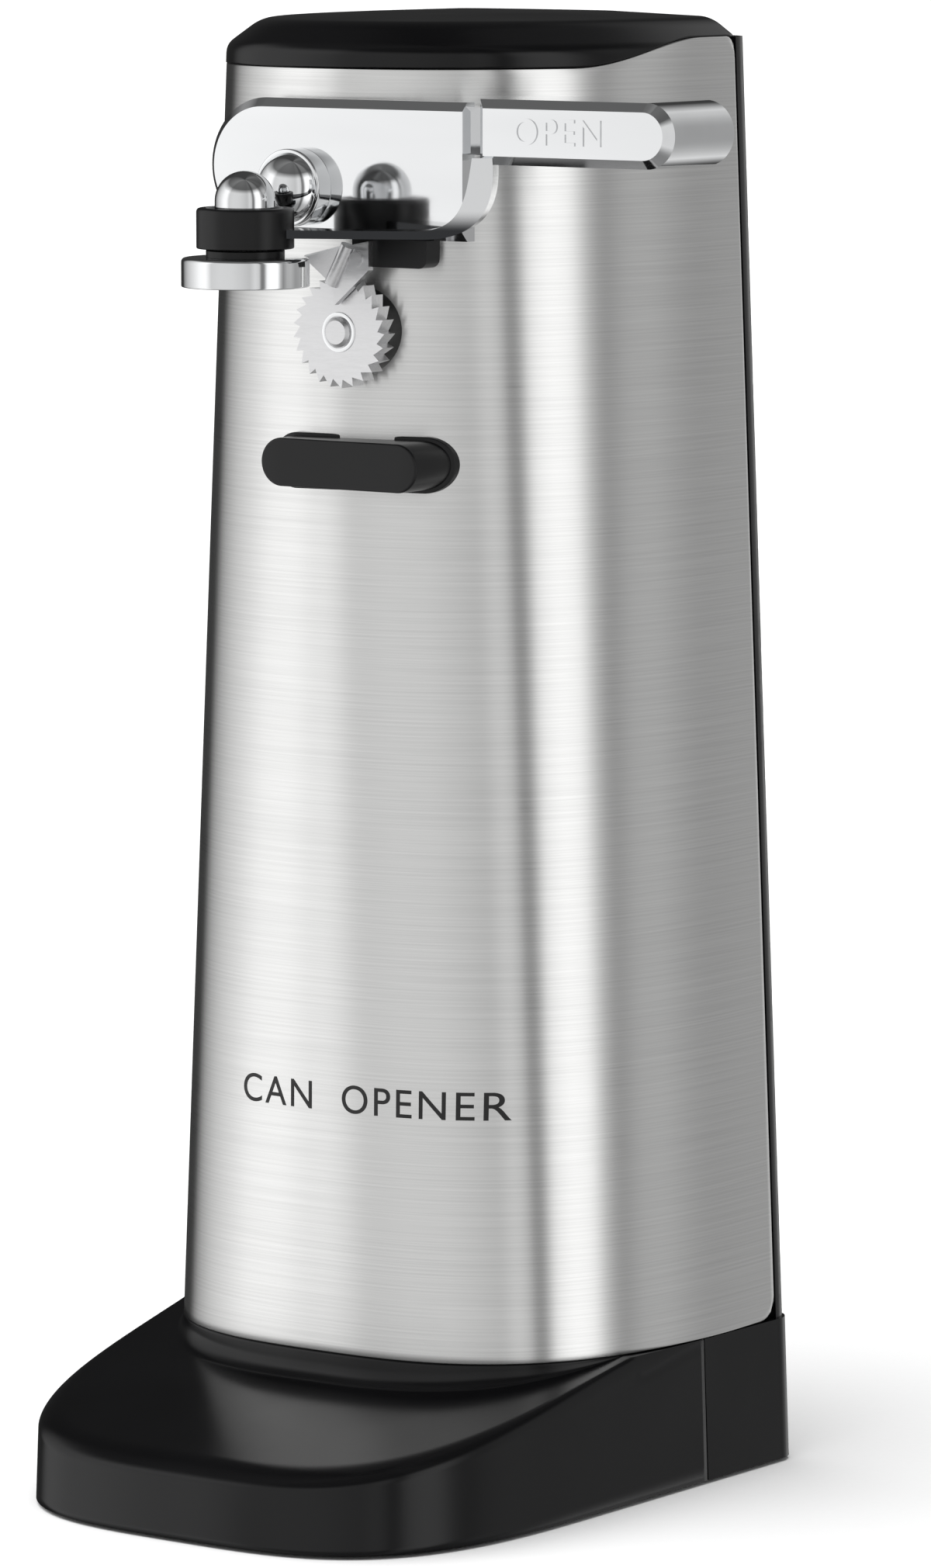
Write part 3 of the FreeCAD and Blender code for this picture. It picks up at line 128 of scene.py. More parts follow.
class HousingSettings(bpy.types.PropertyGroup):
    """Sizes and colours of the steel skin, the cap and the base."""
    steel_wall: length("Steel wall", "Thickness of the steel skin", 0.8)
    steel_corner: length("Steel corner", "Rounding of the skin's rear corners", 3.2)
    steel_edge: length("Steel edge", "Broken edge round the skin", 0.18)
    brush_line: length("Brush line", "Height of one drawn brushing line", 0.35)
    brush_run: length("Brush run", "Length of one brushing line", 38.0)
    plastic_wall: length("Plastic wall", "Thickness of the moulded shells", 2.2)
    rim_run: length("Rim run", "How far in the foot's rounded rim reaches", 5.0)
    rim_drop: length("Rim drop", "How far down the foot's rounded rim reaches", 2.6)
    plinth_fillet: length("Plinth fillet", "Hollow fillet where the plinth meets the foot", 2.4)
    cap_round: length("Cap rounding", "Rounding of the cap's shoulder and brow", 1.4)
    steel_colour: colour("Steel", "Colour of the brushed steel", "#E0E0DF")
    plastic_colour: colour("Black plastic", "Colour of the moulded housing parts", "#070708")


class FittingSettings(bpy.types.PropertyGroup):
    """Sizes and colours of the guide, the wheel's boss, the lever's mark and the magnet."""
    guide_edge: length("Guide edge", "Rounding of the guide's front edge", 0.45)
    guide_step: length("Guide flange", "How far the guide's flange stands out round it", 0.6)
    guide_flange: length("Guide flange thickness", "Height of the flange above the skin", 1.2)
    ring_width: length("Ring width", "Width of the bright ring round the shaft's end", 0.7)
    ring_height: length("Ring height", "How far that ring stands out of the wheel's face", 0.12)
    mark_height: length("Mark height", "Letter height of the embossed word on the handle", 4.3)
    mark_depth: length("Mark depth", "How far the embossed word stands out", 0.22)
    mark_x: length("Mark place", "Middle of the embossed word to the right of the centre", 51.8)
    mark_z: length("Mark level", "Height of the embossed word's middle", 223.0)
    knob_flange: length("Nut flange", "Height of the pivot nut's flange", 3.4)
    knob_step: length("Nut step", "How far the nut's dome stands in from its flange", 0.6)
    cup_height: length("Cup height", "Height of the magnet's cup without its collar", 4.6)
    cup_wall: length("Cup wall", "Wall of the magnet's cup", 0.9)
    collar_radius: length("Collar radius", "Radius of the collar between cup and holder", 6.2)
    collar_gap: length("Collar gap", "Room round the collar in the holder's recess", 0.4)
    collar_recess: length("Collar recess", "Depth of the recess in the holder", 1.2)
    print_height: length("Print height", "Letter height of the word printed on the skin", 4.8)
    print_x: length("Print place", "Middle of the printed word to the right of the centre", 8.0)
    print_z: length("Print level", "Height of the printed word's middle", 66.0)
    chrome_colour: colour("Chrome", "Colour of the polished chrome plate", "#E9EAEB")
    # The arm's dark colour below is a painted reflection of the black holder and cup in its level strip; it
    # is painted below the dark level and fades out by the bright level.
    arm_reflection_colour: colour("Arm painted reflection", "Painted-on dark of the arm's level strip", "#3A3B3D")
    arm_dark_z: length("Arm dark level", "Height below which the arm is painted dark", 207.6)
    arm_bright_z: length("Arm bright level", "Height above which the arm is bright", 211.0)
    black_colour: colour("Black fittings", "Colour of the black moulded fittings", "#0A0A0B")
    tool_colour: colour("Tool steel", "Colour of the ground wheel and blade", "#E6E6E7")


class StageSettings(bpy.types.PropertyGroup):
    """Camera, floor and light."""
    camera_turn: bpy.props.FloatProperty(name="Camera turn", description="Angle of the camera to the right",
                                         default=np.radians(34.67), subtype="ANGLE", unit="ROTATION")
    camera_distance: length("Camera distance", "Level distance from the aim to the camera", 1202.1)
    camera_height: length("Camera height", "Height of the camera", 271.1)
    camera_aim: length("Camera aim", "Height of the point that the camera looks at", 113.9)
    camera_side: length("Camera side", "How far the camera stands to its right", 6.9)
    camera_lens: bpy.props.FloatProperty(name="Lens", description="Focal length in millimetres",
                                         default=169.2, min=10.0)
    floor_size: length("Floor", "Half width of the floor", 40000.0)
    floor_colour: colour("Floor colour", "Colour of the floor", "#F7F7F7")
    light_strength: bpy.props.FloatProperty(name="Room light", description="Strength of the studio light",
                                            default=1.0, min=0.0)
    top_strength: bpy.props.FloatProperty(name="Top lamp", description="Strength of the lamp above",
                                          default=3.3, min=0.0)


# ---------------------------------------------------------------- numpy surfaces
def even_steps(curve, count):
    """Shares of a curve's own parameter that cut it into pieces of equal length.
    The running length of the dense curve is inverted by interpolation."""
    step = np.linalg.norm(np.diff(curve, axis=0), axis=1)
    run = np.concatenate([[0.0], np.cumsum(step)])
    return np.interp(np.linspace(0, run[-1], count), run, np.linspace(0, 1, len(curve)))


def signed_power(value, exponent):
    """The value's sign times its size raised to the exponent."""
    return np.sign(value) * np.abs(value) ** exponent


def between(pair, z):
    """A size that runs evenly from the plinth's top to the cap line."""
    share = (z - PLINTH_TOP) / (CAP_LINE - PLINTH_TOP)
    return pair[0] + (pair[1] - pair[0]) * share


def housing_front(turn, z, inset=0.0):
    """Front half of the housing: |x/a|^n + |(edge - y)/b|^n = 1, with turn from 0 at the right edge to pi.
    x = a cos^(2/n), y = edge - b sin^(2/n), where a, b, n and edge run evenly with height."""
    power = 2 / between(POWER, z)
    x = (between(HALF_WIDTH, z) - inset) * signed_power(np.cos(turn), power)
    y = between(EDGE_Y, z) - (between(DEPTH, z) - inset) * np.abs(np.sin(turn)) ** power
    return np.stack(np.broadcast_arrays(x, y, z), axis=-1)


def housing_round(turn, z, inset):
    """The whole housing outline: the front half, then a shallower superellipse of power 3 behind the edge."""
    front = housing_front(turn, z, inset)
    back_depth = np.interp(inset, [place_in for place_in, _ in CAP_PROFILE[1:]],
                           (BACK_DEPTH + CAP_PROUD, BACK_DEPTH - 3, BACK_DEPTH - 6))
    half = between(HALF_WIDTH, z) - inset
    x = half * signed_power(np.cos(turn), 2 / BACK_POWER)
    y = between(EDGE_Y, z) + back_depth * np.abs(np.sin(turn)) ** (2 / BACK_POWER)
    back = np.stack(np.broadcast_arrays(x, y, z), axis=-1)
    return np.where((turn > np.pi)[..., None] & np.ones_like(front, bool), back, front)


def skin_y(x, z):
    """Y of the housing's front surface at a place: edge - b (1 - |x/a|^n)^(1/n)."""
    n = between(POWER, z)
    reach = 1 - np.abs(x / between(HALF_WIDTH, z)) ** n
    return between(EDGE_Y, z) - between(DEPTH, z) * np.maximum(reach, 0) ** (1 / n)


def cap_line(y):
    """Height of the cap's lower edge: level in front, then an S that climbs CAP_RISE towards the back.
    The S is 3s^2 - 2s^3 of the share s of the way."""
    share = np.clip((y - CAP_RISE_Y[0]) / (CAP_RISE_Y[1] - CAP_RISE_Y[0]), 0, 1)
    return CAP_LINE + CAP_RISE * share ** 2 * (3 - 2 * share)


def base_half_width(y):
    """The base widens evenly towards the back."""
    grow = (BASE_HALF_BACK - BASE_HALF_FRONT) / (EDGE_Y[0] - BASE_WIDE_Y)
    return BASE_HALF_FRONT + grow * (y - BASE_WIDE_Y)


def base_nose(count=400):
    """Outline of the front base at the floor, right seam to left seam: straight sides, then a superellipse
    nose of power 3.4 whose width follows base_half_width."""
    turn = np.linspace(0, np.pi, count)
    y = BASE_WIDE_Y - BASE_REACH * np.sin(turn) ** (2 / BASE_POWER)
    nose = np.stack([base_half_width(y) * signed_power(np.cos(turn), 2 / BASE_POWER), y], axis=-1)
    side_y = np.linspace(BASE_SEAM_Y, BASE_WIDE_Y, 60)[:-1]
    side = np.stack([base_half_width(side_y), side_y], axis=-1)
    return np.concatenate([side, nose, side[::-1] * (-1, 1)])


def resample(outline, count):
    """The outline's points moved to equal steps along it."""
    share = even_steps(outline, count)
    at = np.linspace(0, 1, len(outline))
    return np.stack([np.interp(share, at, outline[:, i]) for i in range(outline.shape[1])], axis=-1)


def rounded(corners, radii, steps=8):
    """An open profile whose inner corners are rounded: each corner P becomes the quadratic curve from
    P - r toward the last corner to P + r toward the next, with P as its middle pole."""
    corners = np.array(corners, float)
    middle = corners[1:-1]
    before = corners[:-2] - middle
    after = corners[2:] - middle
    before_run = np.linalg.norm(before, axis=1, keepdims=True)
    after_run = np.linalg.norm(after, axis=1, keepdims=True)
    radii = np.broadcast_to(np.array(radii, float), (len(middle),))[:, None]
    start = middle + before / before_run * np.minimum(radii, before_run * 0.49)
    end = middle + after / after_run * np.minimum(radii, after_run * 0.49)
    s = np.linspace(0, 1, steps)[None, :, None]
    curve = (1 - s) ** 2 * start[:, None] + 2 * s * (1 - s) * middle[:, None] + s ** 2 * end[:, None]
    return np.concatenate([corners[:1], curve.reshape(-1, corners.shape[1]), corners[-1:]])


def grid_object(name, points_mm, wrap=False, uv_mm=None, solid=True):
    """An object from a rows x columns grid of points in millimetres, one quad between four neighbours.
    wrap joins the last column to the first; uv_mm gives each point a place on the surface in millimetres."""
    rows, columns = points_mm.shape[:2]
    index = np.arange(rows * columns).reshape(rows, columns)
    if wrap:
        index = np.concatenate([index, index[:, :1]], axis=1)
    quads = np.stack([index[:-1, :-1], index[:-1, 1:], index[1:, 1:], index[1:, :-1]], axis=-1)
    mesh = bpy.data.meshes.new(name)
    mesh.from_pydata((points_mm.reshape(-1, 3) * MM).tolist(), [], quads.reshape(-1, 4).tolist())
    if uv_mm is not None:
        loops = np.zeros(len(mesh.loops), int)
        mesh.loops.foreach_get("vertex_index", loops)
        layer = mesh.uv_layers.new(name="skin_uv")
        layer.data.foreach_set("uv", (uv_mm.reshape(-1, 2) * MM)[loops].astype(np.float32).ravel())
    if solid:
        close_up(mesh)
    mesh.polygons.foreach_set("use_smooth", np.ones(len(mesh.polygons), bool))
    made = bpy.data.objects.new(name, mesh)
    bpy.context.scene.collection.objects.link(made)
    return made


def close_up(mesh):
    """Merges the doubled points of poles and seams, then turns every face outwards."""
    work = bmesh.new()
    work.from_mesh(mesh)
    bmesh.ops.remove_doubles(work, verts=work.verts, dist=2e-6)
    bmesh.ops.recalc_face_normals(work, faces=work.faces)
    work.to_mesh(mesh)
    work.free()


def turned(name, profile_mm, centre, along, segments=128):
    """A surface of revolution: each (radius, height) of the profile goes round the axis through centre.
    along is the axis, "Y" or "Z"; the profile starts and ends on the axis or closes on itself."""
    turn = np.linspace(0, 2 * np.pi, segments, endpoint=False)
    radius = profile_mm[:, :1]
    height = np.broadcast_to(profile_mm[:, 1:], (len(profile_mm), segments))
    across = radius * np.cos(turn)
    other = radius * np.sin(turn)
    points = {"Z": (across, other, height), "Y": (across, height, other)}[along]
    keep = {"Z": (1, 1, 0), "Y": (1, 0, 1)}[along]
    return grid_object(name, np.stack(points, axis=-1) + np.array(centre) / MM * keep, wrap=True)


def finish_piece(piece, material, body, slot, *nodes):
    """Gives a new piece its material, its body and the CAD nodes that it stands for; slot is not used."""
    piece.data.materials.clear()
    piece.data.materials.append(material)
    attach(piece, body)
    if nodes:
        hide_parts(*nodes)


def turned_piece(name, profile_mm, centre, along, finish, node=None, sharp=50, segments=128):
    """A surface of revolution with its edges above the angle kept crisp. finish is the material's key, the
    body and the slot; node is the CAD node that the piece stands for."""
    material, body, slot = finish
    piece = turned(name, profile_mm, centre, along, segments)
    smooth_by_angle(piece, sharp)
    finish_piece(piece, materials[material], body, slot, *([node] if node else []))


def thicken(piece, wall, edge=0.0):
    """Gives a skin its wall, inwards, and a small bevel on the rim."""
    wall_modifier = piece.modifiers.new("wall", "SOLIDIFY")
    wall_modifier.thickness = wall
    wall_modifier.offset = -1
    if edge:
        bevel = piece.modifiers.new("edge", "BEVEL")
        bevel.width = edge
        bevel.segments = 2
        bevel.limit_method = "ANGLE"
        bevel.angle_limit = np.radians(60)


# ---------------------------------------------------------------- materials
def add_node(tree, kind, settings=None, values=None, links=None):
    """Adds one shader node, with its properties, its socket values and the sockets that feed it."""
    made = tree.nodes.new(kind)
    for name, value in (settings or {}).items():
        setattr(made, name, value)
    for name, value in (values or {}).items():
        made.inputs[name].default_value = value
    for name, source in (links or {}).items():
        tree.links.new(source, made.inputs[name])
    return made


def new_material(name, base, metallic, roughness, **values):
    """A material with one Principled shader, whose uniform values stand on its own sockets."""
    material = bpy.data.materials.new(name)
    material.use_nodes = True
    tree = material.node_tree
    tree.nodes.clear()
    sockets = {"Base Color": (*base, 1.0), "Metallic": metallic, "Roughness": roughness}
    sockets.update({key.replace("_", " "): value for key, value in values.items()})
    shader = add_node(tree, "ShaderNodeBsdfPrincipled", values=sockets)
    add_node(tree, "ShaderNodeOutputMaterial", links={"Surface": shader.outputs["BSDF"]})
    return material, tree, shader


def place(tree, stretch=(1, 1, 1), source="Object"):
    """Coordinates in metres from the object's own space or its UV map, stretched for a grain."""
    coordinates = add_node(tree, "ShaderNodeTexCoord")
    scaled = add_node(tree, "ShaderNodeMapping", values={"Scale": stretch},
                      links={"Vector": coordinates.outputs[source]})
    return scaled.outputs["Vector"]


def grain(tree, vector, size_mm, detail=2.0):
    """Noise whose cells are size_mm across in the coordinates given."""
    noise = add_node(tree, "ShaderNodeTexNoise", values={"Scale": 1 / (size_mm * MM), "Detail": detail},
                     links={"Vector": vector})
    return noise.outputs["Fac"]


def spread(tree, source, low, high):
    """The noise's middle range stretched to run from low to high."""
    made = add_node(tree, "ShaderNodeMapRange",
                    values={"From Min": 0.3, "From Max": 0.7, "To Min": low, "To Max": high},
                    links={"Value": source})
    return made.outputs["Result"]


def tint(tree, shader, source, dark, light):
    """Base colour that wanders from dark to light with the noise."""
    mix = add_node(tree, "ShaderNodeMix", {"data_type": "RGBA"}, links={"Factor": source})
    mix.inputs[6].default_value = (*dark, 1)
    mix.inputs[7].default_value = (*light, 1)
    tree.links.new(mix.outputs[2], shader.inputs["Base Color"])


def relief(tree, shader, source, height_mm, strength=1.0):
    """Bump of the given height from a noise."""
    bump = add_node(tree, "ShaderNodeBump", values={"Strength": strength, "Distance": height_mm * MM},
                    links={"Height": source})
    tree.links.new(bump.outputs["Normal"], shader.inputs["Normal"])


def mottled(name, code, metallic, roughness, size_mm, detail, shades, bump=None, rough=None, **values):
    """A finish whose colour follows one noise of cells size_mm across, and whose relief (height in
    millimetres, strength) or roughness (low, high) follows the same noise."""
    base = srgb(code)
    material, tree, shader = new_material(name, base, metallic, roughness, **values)
    cloud = grain(tree, place(tree), size_mm, detail)
    tint(tree, shader, spread(tree, cloud, 0, 1), shade(base, shades[0]), shade(base, shades[1]))
    if bump:
        relief(tree, shader, cloud, *bump)
    if rough:
        tree.links.new(spread(tree, cloud, *rough), shader.inputs["Roughness"])
    return material


def shade(colour_value, factor):
    """A colour made darker or lighter."""
    return tuple(min(1.0, channel * factor) for channel in colour_value)


def brushed_stainless_steel(housing):
    """Stainless sheet brushed across with belts: long fine level lines that stretch highlights upright.
    Real lines are under 0.1 mm high, too fine to show, so they are drawn as high as brush_line."""
    base = tuple(housing.steel_colour)
    material, tree, shader = new_material("brushed_stainless_steel", base, 1.0, 0.24, Anisotropic=0.72,
                                          Anisotropic_Rotation=0.25)
    line = housing.brush_line
    uv = place(tree, (line / housing.brush_run, 1, 1), "UV")
    lines = grain(tree, uv, line / MM, 3.0)
    cloud = grain(tree, place(tree, (0.35, 1, 1), "UV"), 9.0)
    both = add_node(tree, "ShaderNodeMath", {"operation": "MULTIPLY_ADD"}, links={0: lines, 2: cloud})
    both.inputs[1].default_value = 0.6
    tint(tree, shader, spread(tree, lines, 0, 1), shade(base, 0.93), shade(base, 1.05))
    tree.links.new(spread(tree, both.outputs["Value"], 0.15, 0.24), shader.inputs["Roughness"])
    relief(tree, shader, lines, 0.004, 0.5)
    tangent = add_node(tree, "ShaderNodeTangent", {"direction_type": "UV_MAP", "uv_map": "skin_uv"})
    tree.links.new(tangent.outputs["Tangent"], shader.inputs["Tangent"])
    return material


def moulded_black_abs(name, base, roughness, texture_mm=0.6):
    """Injection-moulded ABS: a satin black skin with a very fine spark-eroded texture and a clear sheen."""
    material, tree, shader = new_material(name, base, 0.0, roughness, IOR=1.53, Specular_IOR_Level=0.3)
    vector = place(tree)
    fine = grain(tree, vector, texture_mm, 3.0)
    wide = grain(tree, vector, 22.0, 2.0)
    tree.links.new(spread(tree, wide, roughness - 0.03, roughness + 0.04), shader.inputs["Roughness"])
    tint(tree, shader, spread(tree, wide, 0, 1), shade(base, 0.85), shade(base, 1.25))
    relief(tree, shader, fine, 0.006, 0.35)
    return material


def polished_chrome(fittings):
    """Chrome plate over a polished casting: a near mirror with faint wipe marks."""
    base = tuple(fittings.chrome_colour)
    material, tree, shader = new_material("polished_chrome", base, 1.0, 0.05)
    vector = place(tree, (0.25, 1, 1))
    tree.links.new(spread(tree, grain(tree, vector, 3.0, 4.0), 0.035, 0.085), shader.inputs["Roughness"])
    tint(tree, shader, spread(tree, grain(tree, vector, 12.0), 0, 1), shade(base, 0.95), shade(base, 1.03))
    return material


def arm_chrome_painted_reflection(fittings):
    """Chrome on the magnet's arm. The plate is one and the same, but the level strip mirrors the dark holder
    and cup, which the room's light doesn't give, so a darker colour is painted on below arm_bright_z."""
    material, tree, shader = new_material("arm_chrome_painted_reflection", tuple(fittings.chrome_colour), 1.0, 0.07)
    split = add_node(tree, "ShaderNodeSeparateXYZ", links={"Vector": place(tree)})
    share = add_node(tree, "ShaderNodeMapRange", {"interpolation_type": "SMOOTHSTEP"},
                     {"From Min": fittings.arm_dark_z, "From Max": fittings.arm_bright_z},
                     {"Value": split.outputs["Z"]})
    # painted reflection: dark on the level strip, the chrome's own colour above it
    tint(tree, shader, share.outputs["Result"], tuple(fittings.arm_reflection_colour), tuple(fittings.chrome_colour))
    tree.links.new(spread(tree, grain(tree, place(tree), 3.0, 4.0), 0.04, 0.09), shader.inputs["Roughness"])
    return material


def ground_tool_steel(fittings):
    """Hardened steel ground flat: a grey satin face with fine grinding lines of about half a millimetre."""
    base = tuple(fittings.tool_colour)
    material, tree, shader = new_material("ground_tool_steel", base, 1.0, 0.36)
    vector = place(tree, (0.15, 1, 1))
    lines = grain(tree, vector, 0.5, 4.0)
    tree.links.new(spread(tree, lines, 0.28, 0.44), shader.inputs["Roughness"])
    tint(tree, shader, spread(tree, lines, 0, 1), shade(base, 0.88), shade(base, 1.04))
    relief(tree, shader, lines, 0.006, 0.4)
    return material


def zinc_plated_steel():
    """Bright zinc on pressed steel: bluish grey with small crystals of one to two millimetres."""
    return mottled("zinc_plated_steel", "#B4B9BD", 1.0, 0.34, 1.6, 3.0, (0.85, 1.1), rough=(0.26, 0.42))


def moulded_nylon():
    """Natural nylon gears: creamy white, slightly translucent, with a soft satin skin."""
    base = srgb("#E6E1D2")
    material, tree, shader = new_material("moulded_nylon", base, 0.0, 0.42, IOR=1.53,
                                          Subsurface_Weight=0.08, Subsurface_Scale=0.002)
    cloud = grain(tree, place(tree), 5.0)
    tint(tree, shader, spread(tree, cloud, 0, 1), shade(base, 0.94), shade(base, 1.02))
    relief(tree, shader, grain(tree, place(tree), 0.5), 0.004, 0.3)
    return material


def enamelled_copper():
    """Wound magnet wire: coppery turns of about a millimetre side by side under clear enamel, with painted
    shade that darkens the grooves between the turns.
    """
    base = srgb("#B4693C")
    material, tree, shader = new_material("enamelled_copper", base, 1.0, 0.3, Coat_Weight=0.6)
    turns = add_node(tree, "ShaderNodeTexWave", {"bands_direction": "X"},
                     values={"Scale": 1 / (6.28 * 1.0 * MM), "Distortion": 0.6},
                     links={"Vector": place(tree)})
    # painted shade: dark in the grooves between turns, lighter on their crowns
    tint(tree, shader, turns.outputs["Fac"], shade(base, 0.55), shade(base, 1.1))
    relief(tree, shader, turns.outputs["Fac"], 0.3, 0.8)
    return material


def stacked_laminations():
    """Silicon steel sheets of about half a millimetre, stacked front to back, with dark insulation."""
    base = srgb("#7C7F82")
    material, tree, shader = new_material("stacked_laminations", base, 1.0, 0.45)
    sheets = add_node(tree, "ShaderNodeTexWave", {"bands_direction": "Y"},
                      values={"Scale": 1 / (6.28 * 0.5 * MM)}, links={"Vector": place(tree)})
    tint(tree, shader, sheets.outputs["Fac"], shade(base, 0.5), shade(base, 1.15))
    relief(tree, shader, sheets.outputs["Fac"], 0.08, 0.6)
    return material


def sintered_bronze():
    """Oil-filled sintered bronze: a brown-gold body with pores of a quarter of a millimetre."""
    return mottled("sintered_bronze", "#A07A45", 1.0, 0.48, 0.25, 3.0, (0.6, 1.1), (0.03, 0.6))


def pressed_ferrite():
    """Pressed and fired ferrite: dark grey, dull, with a grain of a third of a millimetre."""
    return mottled("pressed_ferrite", "#2B2B2D", 0.0, 0.62, 0.33, 4.0, (0.7, 1.3), (0.02, 0.5), IOR=1.6)


def moulded_rubber():
    """Moulded rubber of the foot ring and the cord's grommet: matt black with a soft bloom."""
    return mottled("moulded_rubber", "#191919", 0.0, 0.72, 1.5, 3.0, (0.8, 1.3), (0.02, 0.5),
                   IOR=1.5, Sheen_Weight=0.15)


def bonded_grindstone():
    """Bonded aluminium oxide: pinkish grey grit of 0.4 mm with open pores."""
    base = srgb("#A89C96")
    material, tree, shader = new_material("bonded_grindstone", base, 0.0, 0.9, IOR=1.6)
    grit = add_node(tree, "ShaderNodeTexVoronoi", values={"Scale": 1 / (0.4 * MM)},
                    links={"Vector": place(tree)})
    tint(tree, shader, grit.outputs["Distance"], shade(base, 1.15), shade(base, 0.6))
    relief(tree, shader, grit.outputs["Distance"], 0.12, 0.8)
    return material


def pad_print_ink():
    """Pad-printed ink: a thin even film of black with a dull sheen and faint mottling."""
    return mottled("pad_print_ink", "#101010", 0.0, 0.45, 0.8, 2.0, (0.8, 1.2), rough=(0.4, 0.5), IOR=1.5)


def make_materials(scene):
    """One material for each slot of the record, kept by slot name."""
    housing = scene.opener_housing
    fittings = scene.opener_fittings
    plastic = tuple(housing.plastic_colour)
    black = tuple(fittings.black_colour)
    return {
        "steel_skin": brushed_stainless_steel(housing),
        "black_plastic": moulded_black_abs("moulded_black_abs", plastic, 0.2),
        "black_fittings": moulded_black_abs("moulded_black_acetal", black, 0.3, 0.5),
        "inner_plastic": moulded_black_abs("moulded_dark_abs", shade(plastic, 1.6), 0.4, 0.7),
        "chrome": polished_chrome(fittings),
        # chrome for the magnet's arm, with a painted reflection on its level strip
        "arm_chrome_painted_reflection": arm_chrome_painted_reflection(fittings),
        "tool_steel": ground_tool_steel(fittings),
        "zinc_steel": zinc_plated_steel(),
        "gear_nylon": moulded_nylon(),
        "copper": enamelled_copper(),
        "lamination": stacked_laminations(),
        "bronze": sintered_bronze(),
        "magnet_black": pressed_ferrite(),
        "rubber": moulded_rubber(),
        "whetstone": bonded_grindstone(),
        "print_ink": pad_print_ink(),
    }


materials = {}


# ---------------------------------------------------------------- operators
class OPENER_OT_stage(bpy.types.Operator):
    """Sets up the camera, the floor and the soft studio light"""
    bl_idname = "opener.stage"
    bl_label = "Stage"

    def execute(self, context):
        settings = context.scene.opener_stage
        make_camera(context.scene, settings)
        make_floor(settings)
        make_room_light(context.scene, settings)
        make_top_light(context.scene, settings)
        return {"FINISHED"}


def make_camera(scene, settings):
    """The camera stands on a circle round the housing, a little to its right, and looks slightly down."""
    turn = settings.camera_turn
    ahead = Vector((-np.sin(turn), np.cos(turn), 0))
    right = Vector((np.cos(turn), np.sin(turn), 0))
    start = right * settings.camera_side - ahead * settings.camera_distance
    start.z = settings.camera_height
    dip = np.arctan2(settings.camera_height - settings.camera_aim, settings.camera_distance)
    look = ahead * np.cos(dip) - Vector((0, 0, np.sin(dip)))
    up = ahead * np.sin(dip) + Vector((0, 0, np.cos(dip)))
    data = bpy.data.cameras.new("studio_camera")
    data.lens = settings.camera_lens
    data.sensor_width = 36
    data.clip_end = 100
    camera = bpy.data.objects.new("studio_camera", data)
    axes = Matrix((right, up, -look)).transposed()
    camera.matrix_world = Matrix.Translation(start) @ axes.to_4x4()
    scene.collection.objects.link(camera)
    scene.camera = camera


def make_floor(settings):
    """A wide level sheet of matt white board."""
    size = settings.floor_size / MM
    along = np.linspace(-size, size, 41)
    floor = grid_object("studio_floor", np.stack(np.broadcast_arrays(
        along[None, :], along[:, None], 0.0), axis=-1), solid=False)
    base = tuple(settings.floor_colour)
    material, tree, shader = new_material("white_board", base, 0.0, 0.9, Specular_IOR_Level=0.0)
    tint(tree, shader, spread(tree, grain(tree, place(tree), 1.2), 0, 1), shade(base, 0.99), base)
    floor.data.materials.append(material)
    floor.visible_glossy = False


# direction in degrees from the front, positive to the right, and the panel's brightness there
PANELS = [(-180, 0.9), (-165, 0.3), (-155, 0.05), (-112, 0.04), (-100, 0.42), (-85, 0.7), (-68, 0.95),
          (-54, 1.2), (-40, 1.25), (-33, 0.98), (-28, 0.75), (-10, 0.8), (12, 0.78), (30, 0.7), (44, 0.62),
          (54, 0.8), (61, 0.7), (65, 0.22), (70, 0.25), (76, 1.15), (86, 1.35), (96, 1.3), (102, 0.6),
          (108, 0.3), (117, 0.5), (126, 0.52), (138, 0.36), (150, 0.4), (165, 0.6), (180, 0.9)]
# height of a direction in degrees, and how much of the dark ceiling or floor it shows there
CEILING_MIX = [(-90, 0.75), (-50, 0.6), (-30, 0.0), (30, 0.0), (46, 0.9), (90, 0.85)]
CEILING_GLOW = 0.06


def make_room_light(scene, settings):
    """A room of soft panels: brightness by compass direction from one ramp, darker up and down by another."""
    world = bpy.data.worlds.new("studio_room")
    world.use_nodes = True
    tree = world.node_tree
    tree.nodes.clear()
    direction = add_node(tree, "ShaderNodeTexCoord")
    split = add_node(tree, "ShaderNodeSeparateXYZ", links={"Vector": direction.outputs["Generated"]})
    away = add_node(tree, "ShaderNodeMath", {"operation": "MULTIPLY"}, {1: -1.0}, {0: split.outputs["Y"]})
    angle = add_node(tree, "ShaderNodeMath", {"operation": "ARCTAN2"},
                     links={0: split.outputs["X"], 1: away.outputs["Value"]})
    share = add_node(tree, "ShaderNodeMapRange", values={"From Min": -np.pi, "From Max": np.pi},
                     links={"Value": angle.outputs["Value"]})
    panels = add_node(tree, "ShaderNodeValToRGB", links={"Fac": share.outputs["Result"]})
    fill_ramp(panels.color_ramp, PANELS)
    height = add_node(tree, "ShaderNodeMapRange", values={"From Min": -1.0, "From Max": 1.0},
                      links={"Value": split.outputs["Z"]})
    ceiling = add_node(tree, "ShaderNodeValToRGB", links={"Fac": height.outputs["Result"]})
    fill_ramp(ceiling.color_ramp, CEILING_MIX)
    mix = add_node(tree, "ShaderNodeMix", {"data_type": "RGBA"}, links={"Factor": ceiling.outputs["Color"]})
    tree.links.new(panels.outputs["Color"], mix.inputs[6])
    mix.inputs[7].default_value = (CEILING_GLOW, CEILING_GLOW, CEILING_GLOW, 1)
    glow = add_node(tree, "ShaderNodeBackground", values={"Strength": settings.light_strength},
                    links={"Color": mix.outputs[2]})
    add_node(tree, "ShaderNodeOutputWorld", links={"Surface": glow.outputs["Background"]})
    scene.world = world
    scene.view_settings.view_transform = "Standard"


